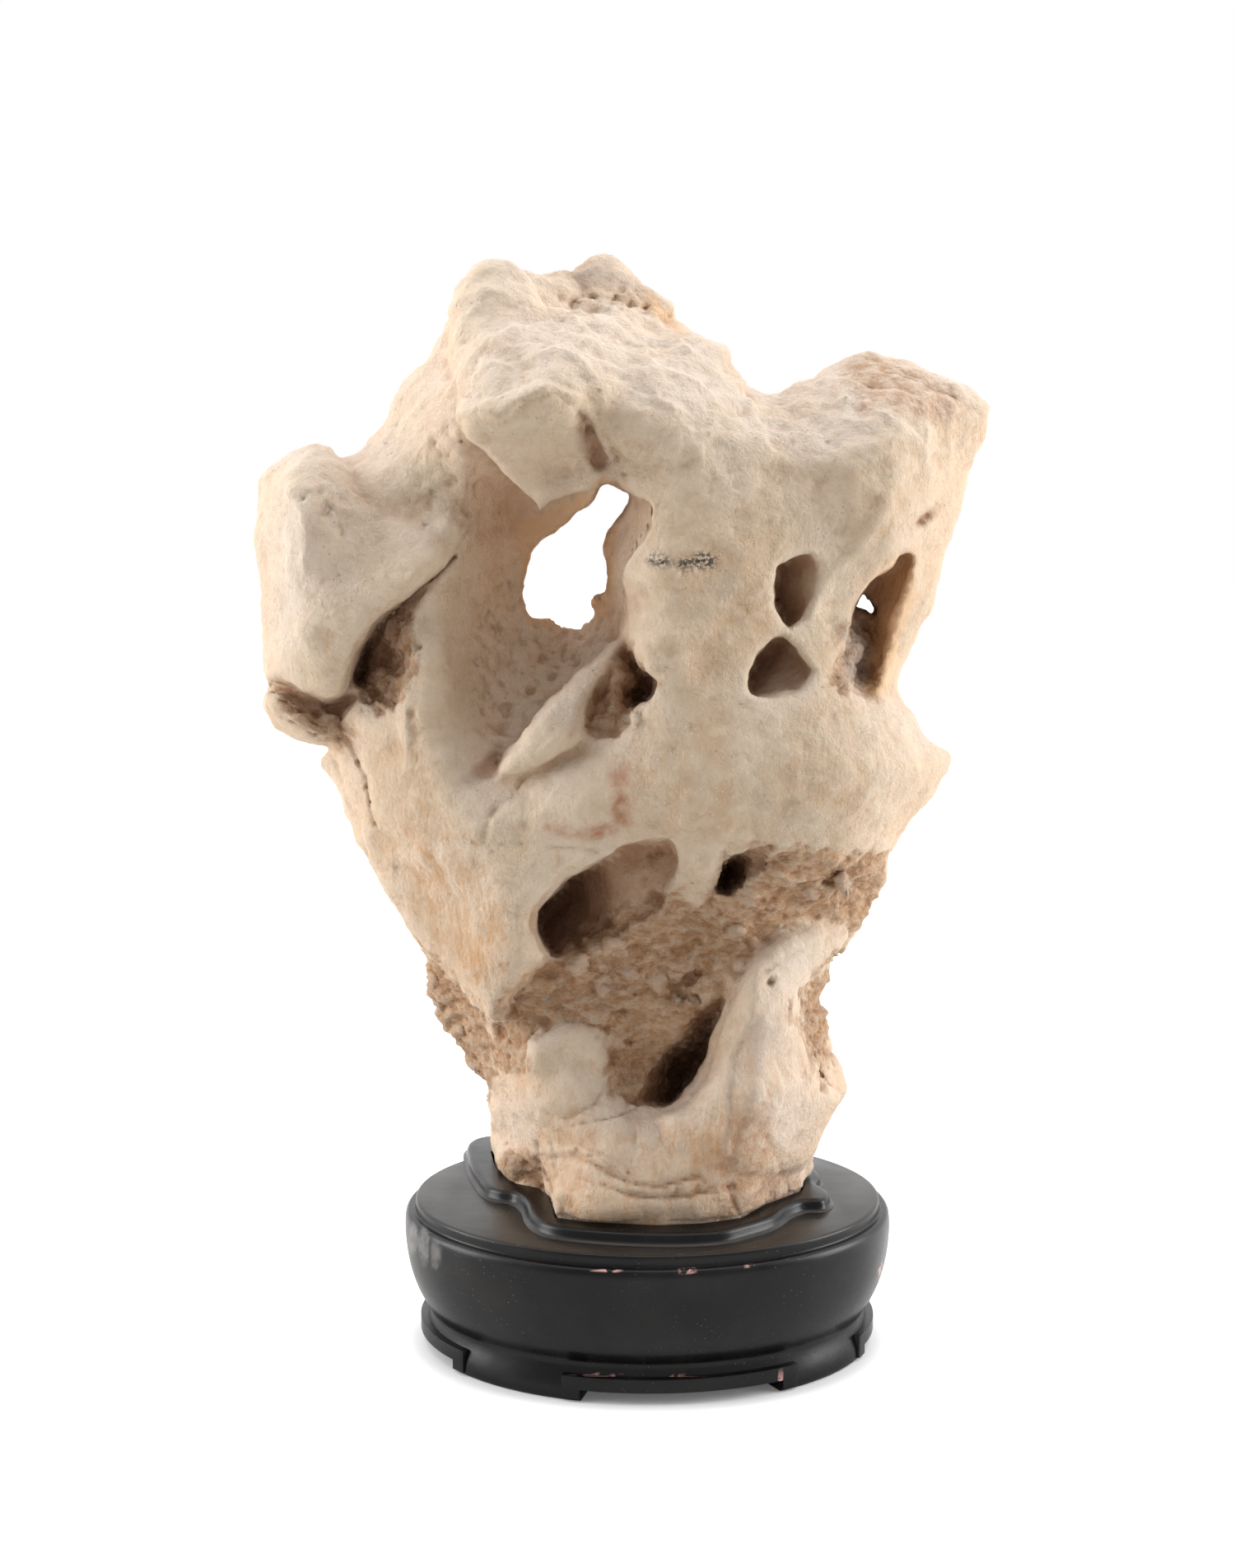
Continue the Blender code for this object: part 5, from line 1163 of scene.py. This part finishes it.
def make_stand():
    """One carved piece: drum, collar round the stone's foot, four panels and four feet."""
    stand = stand_drum()
    combine(stand, collar_ring(), 'UNION')
    for number, (first, last) in enumerate(PANELS, 1):
        panel = oval_strip(f"panel_{number}", first, last, -0.011, -0.0014, 0.0012, 0.0094)
        soften_edges(panel, 0.0007, 2, 50)
        combine(stand, panel, 'UNION')
    for number, (first, last) in enumerate(PANELS, 1):
        arch = oval_strip(f"arch_{number}", first + 4.5, last - 4.5, -0.021, 0.010, -0.010, 0.0046)
        combine(stand, arch, 'DIFFERENCE')
    recess = plate("recess", [oval_point(angle, -0.015) for angle in range(0, 360, 5)], -0.010, 0.0034)
    combine(stand, recess, 'DIFFERENCE')
    socket = plate("socket", grown_outline(FOOT, 0.0008), SOCKET_FLOOR, 0.1)
    combine(stand, socket, 'DIFFERENCE')
    stand.data.materials.clear()
    stand.data.materials.append(lacquer_material())
    stand.data.shade_smooth()
    stand.data.set_sharp_from_angle(angle=math.radians(32))
    return stand


# Materials

def feed(tree, socket, value):
    """Link a socket to a node's output, or set it to a plain value."""
    if isinstance(value, bpy.types.NodeSocket):
        tree.links.new(value, socket)
    else:
        socket.default_value = value


def blend(tree, share, first, second, way='MIX'):
    """Two colours mixed: share is 0 for the first, 1 for the second."""
    step = tree.nodes.new("ShaderNodeMix")
    step.data_type = 'RGBA'
    step.blend_type = way
    feed(tree, step.inputs[0], share)
    feed(tree, step.inputs[6], first)
    feed(tree, step.inputs[7], second)
    return step.outputs[2]


def graded(tree, value, low, high, to_low=0.0, to_high=1.0):
    """A value from low to high, turned into one from to_low to to_high and kept there."""
    step = tree.nodes.new("ShaderNodeMapRange")
    feed(tree, step.inputs["Value"], value)
    step.inputs["From Min"].default_value = low
    step.inputs["From Max"].default_value = high
    feed(tree, step.inputs["To Min"], to_low)
    feed(tree, step.inputs["To Max"], to_high)
    return step.outputs["Result"]


def worked(tree, way, first, second):
    """Arithmetic on two values."""
    step = tree.nodes.new("ShaderNodeMath")
    step.operation = way
    feed(tree, step.inputs[0], first)
    feed(tree, step.inputs[1], second)
    return step.outputs[0]


def marked(tree, name):
    """The number kept per vertex under this name."""
    step = tree.nodes.new("ShaderNodeAttribute")
    step.attribute_name = name
    return step.outputs["Fac"]


def stretched(tree, scale):
    """Places on the object, scaled along each axis."""
    places = tree.nodes.new("ShaderNodeTexCoord")
    step = tree.nodes.new("ShaderNodeMapping")
    step.inputs["Scale"].default_value = scale
    tree.links.new(places.outputs["Object"], step.inputs["Vector"])
    return step.outputs["Vector"]


def mottled(tree, places, scale, detail, roughness=0.55, distortion=0.0):
    """Cloudy noise, 0 to 1."""
    step = tree.nodes.new("ShaderNodeTexNoise")
    tree.links.new(places, step.inputs["Vector"])
    step.inputs["Scale"].default_value = scale
    step.inputs["Detail"].default_value = detail
    step.inputs["Roughness"].default_value = roughness
    step.inputs["Distortion"].default_value = distortion
    return step.outputs["Fac"]


def spotted(tree, places, scale):
    """Distance to scattered points."""
    step = tree.nodes.new("ShaderNodeTexVoronoi")
    tree.links.new(places, step.inputs["Vector"])
    step.inputs["Scale"].default_value = scale
    return step.outputs["Distance"]


def bumped(tree, height, strength, distance, before=None):
    step = tree.nodes.new("ShaderNodeBump")
    step.inputs["Strength"].default_value = strength
    step.inputs["Distance"].default_value = distance
    tree.links.new(height, step.inputs["Height"])
    if before is not None:
        tree.links.new(before, step.inputs["Normal"])
    return step.outputs["Normal"]


def new_material(name):
    material = bpy.data.materials.new(name)
    material.use_nodes = True
    return material, material.node_tree, material.node_tree.nodes["Principled BSDF"]


def stone_material():
    material, tree, shader = new_material("pale_limestone")
    evenly = stretched(tree, (1.0, 1.0, 1.0))
    upright = stretched(tree, (1.0, 1.0, 0.22))
    lengthwise = stretched(tree, (0.5, 1.0, 1.0))
    crumbly = marked(tree, "crumbly")
    deep = marked(tree, "deep")
    pitted = marked(tree, "pitted")
    sunk = marked(tree, "sunk")

    patches = graded(tree, mottled(tree, evenly, 26.0, 4.0), 0.38, 0.66)
    colour = blend(tree, patches, tint(CREAM), tint(BEIGE))
    greys = graded(tree, mottled(tree, evenly, 41.0, 5.0), 0.50, 0.70, 0.0, 0.55)
    colour = blend(tree, greys, colour, tint(GREY_CREAM))
    veins = graded(tree, mottled(tree, evenly, 95.0, 6.0, 0.7, 1.5), 0.53, 0.68, 0.0, 0.55)
    colour = blend(tree, veins, colour, tint(OCHRE))
    warm = worked(tree, 'MULTIPLY', marked(tree, "warm"),
                  graded(tree, mottled(tree, upright, 70.0, 5.0, 0.65), 0.42, 0.62, 0.0, 0.55))
    colour = blend(tree, warm, colour, tint(OCHRE))
    streaks = worked(tree, 'MULTIPLY', marked(tree, "streaked"),
                     graded(tree, mottled(tree, upright, 190.0, 6.0, 0.75, 0.8), 0.40, 0.60, 0.0, 0.95))
    colour = blend(tree, streaks, colour, tint(STREAK))
    colour = blend(tree, worked(tree, 'MULTIPLY', marked(tree, "rust"),
                                graded(tree, mottled(tree, evenly, 220.0, 4.0), 0.35, 0.60, 0.4, 1.0)),
                   colour, tint(RUST))

    # Recessed places and the stone's sides painted a bright warm tone: painted warm shade, standing in for light
    # bounced inside the stone.
    colour = blend(tree, graded(tree, marked(tree, "recessed"), 0.1, 0.7, 0.0, 0.65), colour, tint(WARM_SHADE))

    crumbs = graded(tree, mottled(tree, lengthwise, 420.0, 8.0, 0.75, 0.6), 0.40, 0.60)
    crumb_colour = blend(tree, crumbs, tint(CRUMB), tint(PALE_CRUMB))
    dark_crumbs = graded(tree, mottled(tree, lengthwise, 230.0, 8.0, 0.8), 0.50, 0.62, 0.0, 0.75)
    crumb_colour = blend(tree, dark_crumbs, crumb_colour, tint(DARK_CRUMB))
    crumb_colour = blend(tree, graded(tree, mottled(tree, evenly, 60.0, 4.0), 0.50, 0.64, 0.0, 0.4),
                         crumb_colour, tint(PALE_CRUMB))
    crumb_share = worked(tree, 'MULTIPLY', crumbly,
                         graded(tree, mottled(tree, evenly, 60.0, 5.0), 0.30, 0.50, 0.62, 1.0))
    colour = blend(tree, crumb_share, colour, crumb_colour)

    # Faces turned up painted paler, less so on crumbly rock: painted highlight.
    painted_highlight_share = worked(tree, 'MULTIPLY', marked(tree, "painted_highlight"),
                    graded(tree, mottled(tree, evenly, 60.0, 6.0, 0.7), 0.32, 0.55, 0.3, 0.75))
    colour = blend(tree, worked(tree, 'MULTIPLY', painted_highlight_share, graded(tree, crumbly, 0.0, 1.0, 1.0, 0.35)),
                   colour, tint(HIGHLIGHT_PALE))
    colour = blend(tree, worked(tree, 'MULTIPLY', marked(tree, "base_stain"),
                                graded(tree, mottled(tree, evenly, 260.0, 5.0, 0.7), 0.36, 0.60, 0.1, 0.85)),
                   colour, tint(STAIN))
    wandering = mottled(tree, evenly, 120.0, 8.0, 0.8, 2.0)
    cracks = worked(tree, 'MULTIPLY', graded(tree, wandering, 0.488, 0.5), graded(tree, wandering, 0.512, 0.5))
    colour = blend(tree, worked(tree, 'MULTIPLY', cracks, graded(tree, mottled(tree, evenly, 45.0, 3.0),
                                                                 0.42, 0.62, 0.2, 0.9)), colour, tint(CRACK))
    fine_grain = graded(tree, mottled(tree, evenly, 1100.0, 5.0, 0.8), 0.42, 0.62, 0.0, 0.22)
    colour = blend(tree, fine_grain, colour, tint(OCHRE))

    # Small pits on crumbly and porous rock painted darker: painted shade.
    rough_places = worked(tree, 'MAXIMUM', crumbly, marked(tree, "porous"))
    pit_shade_share = worked(tree, 'MULTIPLY', graded(tree, pitted, 0.30, 1.0),
                        graded(tree, rough_places, 0.0, 1.0, 0.16, 0.26))
    colour = blend(tree, pit_shade_share, colour, tint(PIT_SHADE_AND_SPECK))
    # Paler on small ridges and bulges.
    ridge_paleness = graded(tree, pitted, -0.15, -0.8, 0.0, 0.35)
    colour = blend(tree, ridge_paleness, colour, tint(CREAM))
    # Wide concave places painted a warmer, darker colour: painted shade.
    colour = blend(tree, graded(tree, sunk, 0.25, 1.0, 0.0, 0.32), colour, tint(CRUMB))
    # The hollows painted brown and darker the deeper they lie: painted shade.
    hollow_shade_share = worked(tree, 'MULTIPLY', graded(tree, deep, 0.0, 0.8, 0.0, 0.75),
                        graded(tree, mottled(tree, evenly, 80.0, 5.0), 0.25, 0.50, 0.7, 1.0))
    colour = blend(tree, hollow_shade_share, colour, tint(HOLLOW_SHADE_BROWN))

    # Paler nodules and patches; in the window this is painted light.
    nodules = worked(tree, 'MULTIPLY', marked(tree, "pale_and_lit"),
                     graded(tree, mottled(tree, evenly, 330.0, 5.0, 0.7), 0.38, 0.58, 0.25, 1.0))
    colour = blend(tree, nodules, colour, tint(NODULE))
    specks = graded(tree, spotted(tree, evenly, 330.0), 0.14, 0.06, 0.0, 0.8)
    speck_share = worked(tree, 'MULTIPLY', specks,
                         graded(tree, mottled(tree, evenly, 40.0, 3.0), 0.52, 0.62, 0.0, 0.75))
    colour = blend(tree, speck_share, colour, tint(PIT_SHADE_AND_SPECK))
    white = worked(tree, 'MULTIPLY', graded(tree, spotted(tree, evenly, 430.0), 0.18, 0.08),
                   worked(tree, 'MULTIPLY', marked(tree, "warm"), 0.5))
    colour = blend(tree, white, colour, tint(WHITE_SPECK))
    soot = worked(tree, 'MULTIPLY', marked(tree, "soot"),
                  graded(tree, mottled(tree, evenly, 900.0, 3.0, 0.6), 0.44, 0.52))
    colour = blend(tree, soot, colour, tint(SOOT_GREY))
    # Painted glow: rims coloured orange as if lit through the stone from behind.
    colour = blend(tree, worked(tree, 'MULTIPLY', marked(tree, "glow"), 0.5), colour, tint(PAINTED_GLOW))
    feed(tree, shader.inputs["Base Color"], colour)

    shader.inputs["Roughness"].default_value = 0.82
    shader.inputs["Specular IOR Level"].default_value = 0.25
    grain = mottled(tree, evenly, 420.0, 6.0, 0.68)
    fibres = mottled(tree, upright, 700.0, 4.0, 0.6, 1.0)
    dimples = graded(tree, spotted(tree, evenly, 300.0), 0.0, 0.35)
    normal = bumped(tree, grain, 0.8, 0.0016)
    normal = bumped(tree, fibres, 0.4, 0.0007, normal)
    normal = bumped(tree, dimples, 0.25, 0.0006, normal)
    rough = worked(tree, 'MULTIPLY', crumbly, mottled(tree, evenly, 650.0, 6.0, 0.75))
    normal = bumped(tree, rough, 0.8, 0.0016, normal)
    feed(tree, shader.inputs["Normal"], normal)
    return material


def lacquer_material():
    material, tree, shader = new_material("worn_black_lacquer")
    evenly = stretched(tree, (1.0, 1.0, 1.0))
    along_grain = stretched(tree, (0.15, 1.0, 1.0))
    dust = graded(tree, mottled(tree, evenly, 38.0, 5.0), 0.46, 0.72, 0.0, 0.16)
    colour = blend(tree, dust, tint(LACQUER), tint(LACQUER_DUST))
    chips = worked(tree, 'MULTIPLY', marked(tree, "chipped"),
                   graded(tree, mottled(tree, evenly, 330.0, 4.0, 0.6), 0.44, 0.50))
    colour = blend(tree, chips, colour, tint(CHIP_PINK))
    colour = blend(tree, worked(tree, 'MULTIPLY', marked(tree, "rubbed"), 0.5), colour, tint(LACQUER_DUST))
    specks = worked(tree, 'MULTIPLY', graded(tree, spotted(tree, evenly, 520.0), 0.12, 0.05, 0.0, 0.6),
                    graded(tree, mottled(tree, evenly, 30.0, 3.0), 0.50, 0.62))
    # Smear marks on the drum, partly a painted reflection of the left lamp.
    smear_and_reflection_share = worked(tree, 'MULTIPLY', marked(tree, "smears_and_reflections"),
                    graded(tree, mottled(tree, evenly, 200.0, 4.0), 0.3, 0.6, 0.1, 0.5))
    colour = blend(tree, worked(tree, 'MAXIMUM', specks, smear_and_reflection_share), colour, tint(SPECK_AND_REFLECTION_GREY))
    feed(tree, shader.inputs["Base Color"], colour)
    haze = graded(tree, mottled(tree, evenly, 60.0, 6.0), 0.3, 0.7, 0.24, 0.36)
    feed(tree, shader.inputs["Roughness"], haze)
    shader.inputs["Specular IOR Level"].default_value = 0.38
    grain = mottled(tree, along_grain, 260.0, 5.0, 0.6)
    feed(tree, shader.inputs["Normal"], bumped(tree, grain, 0.12, 0.0005))
    return material


def mark_stand(mesh):
    """Where the lacquer is chipped through, where smear marks with a painted reflection of the left lamp lie, and where
    dust has settled.
    """
    places = vertex_places(mesh)
    sights = world_to_sight(places)
    for name, spots in (("chipped", CHIPS), ("smears_and_reflections", SMEARS_AND_REFLECTIONS)):
        share = np.zeros(len(places))
        for u, v, half_width, half_height in spots:
            spread = ((sights - np.array([u, v])) / np.array([half_width, half_height])) ** 2
            share = np.maximum(share, np.clip(2.0 - 2.0 * spread.sum(axis=1), 0.0, 1.0))
        mark(mesh, name, share * (places[:, 1] < 0.0))
    rubbed = np.clip(1.0 - np.abs(places[:, 2] - 54.4 * MM) / (0.9 * MM), 0.0, 1.0)
    mark(mesh, "rubbed", rubbed)


# Floor, light and camera

def distance_from_stand(tree):
    """On the floor: 1 at an oval round the stand, growing outwards."""
    places = tree.nodes.new("ShaderNodeTexCoord")
    step = tree.nodes.new("ShaderNodeMapping")
    step.inputs["Location"].default_value = (-(STAND_CENTRE_X + SHIFT_X) / PLATEAU_HALF_LENGTH, 0.0, 0.0)
    step.inputs["Scale"].default_value = (1.0 / PLATEAU_HALF_LENGTH, 1.0 / PLATEAU_HALF_DEPTH, 0.0)
    tree.links.new(places.outputs["Object"], step.inputs["Vector"])
    length = tree.nodes.new("ShaderNodeVectorMath")
    length.operation = 'LENGTH'
    tree.links.new(step.outputs["Vector"], length.inputs[0])
    return length.outputs["Value"]


def floor_material():
    material, tree, shader = new_material("white_floor")
    path = tree.nodes.new("ShaderNodeLightPath")
    parts = tree.nodes.new("ShaderNodeSeparateXYZ")
    tree.links.new(stretched(tree, (1.0, 1.0, 1.0)), parts.inputs["Vector"])
    bounce = graded(tree, parts.outputs["Y"], -0.12, 0.06, FRONT_BOUNCE, BACK_BOUNCE)
    brightness = graded(tree, path.outputs["Is Camera Ray"], 0.0, 1.0, bounce, FLOOR_WHITE)
    feed(tree, shader.inputs["Base Color"], brightness)
    shader.inputs["Roughness"].default_value = 1.0
    shader.inputs["Specular IOR Level"].default_value = 0.0
    shader.inputs["Emission Color"].default_value = (1.0, 1.0, 1.0, 1.0)
    # The floor glows less near the stand: a painted contact shadow round its foot.
    glow = worked(tree, 'MULTIPLY', path.outputs["Is Camera Ray"],
                  graded(tree, distance_from_stand(tree), 1.0, 1.15, 0.08, FLOOR_GLOW))
    feed(tree, shader.inputs["Emission Strength"], glow)
    return material


def add_floor():
    bm = bmesh.new()
    bmesh.ops.create_grid(bm, x_segments=1, y_segments=1, size=6.0)
    mesh = bpy.data.meshes.new("floor")
    bm.to_mesh(mesh)
    bm.free()
    floor = add_object("floor", mesh)
    floor.data.materials.append(floor_material())


def add_light(name, place, target, width, height, power):
    light = bpy.data.lights.new(name, 'AREA')
    light.shape = 'RECTANGLE'
    light.size = width
    light.size_y = height
    light.energy = power
    lamp = bpy.data.objects.new(name, light)
    bpy.context.scene.collection.objects.link(lamp)
    lamp.location = place
    lamp.rotation_euler = (Vector(target) - Vector(place)).to_track_quat('-Z', 'Y').to_euler()


def light_the_studio():
    world = bpy.data.worlds.new("white_surround")
    world.use_nodes = True
    tree = world.node_tree
    backdrop = tree.nodes["Background"]
    backdrop.inputs["Color"].default_value = (1.0, 1.0, 1.0, 1.0)
    direction = tree.nodes.new("ShaderNodeTexCoord")
    parts = tree.nodes.new("ShaderNodeSeparateXYZ")
    tree.links.new(direction.outputs["Generated"], parts.inputs["Vector"])
    brightness = graded(tree, parts.outputs["Y"], -0.6, 0.2, FRONT_SURROUND, BACK_SURROUND)
    path = tree.nodes.new("ShaderNodeLightPath")
    feed(tree, backdrop.inputs["Strength"], graded(tree, path.outputs["Is Camera Ray"], 0.0, 1.0, brightness, 1.0))
    bpy.context.scene.world = world
    middle = (0.0, 0.0, 0.20)
    add_light("overhead", (0.0, 0.10, 1.25), middle, 1.1, 1.1, TOP_POWER)
    add_light("left", (-1.3, -0.15, 0.55), middle, 0.7, 0.9, LEFT_POWER)
    add_light("right", (1.3, -0.15, 0.55), middle, 0.7, 0.9, RIGHT_POWER)


def add_camera():
    lens = bpy.data.cameras.new("camera")
    lens.sensor_fit = 'VERTICAL'
    lens.sensor_height = SENSOR
    lens.lens = SENSOR * SIGHT_SCALE / VIEW_HEIGHT
    camera = bpy.data.objects.new("camera", lens)
    bpy.context.scene.collection.objects.link(camera)
    camera.location = SIGHT_POINT
    camera.rotation_euler = Euler((math.radians(90.0) - SIGHT_PITCH, 0.0, 0.0))
    bpy.context.scene.camera = camera
    bpy.context.scene.view_settings.view_transform = 'Standard'


stone = make_stone()
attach(stone, "root")
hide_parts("stone")

stand = make_stand()
mark_stand(stand.data)
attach(stand, "root")
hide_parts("stand")

add_floor()
light_the_studio()
add_camera()
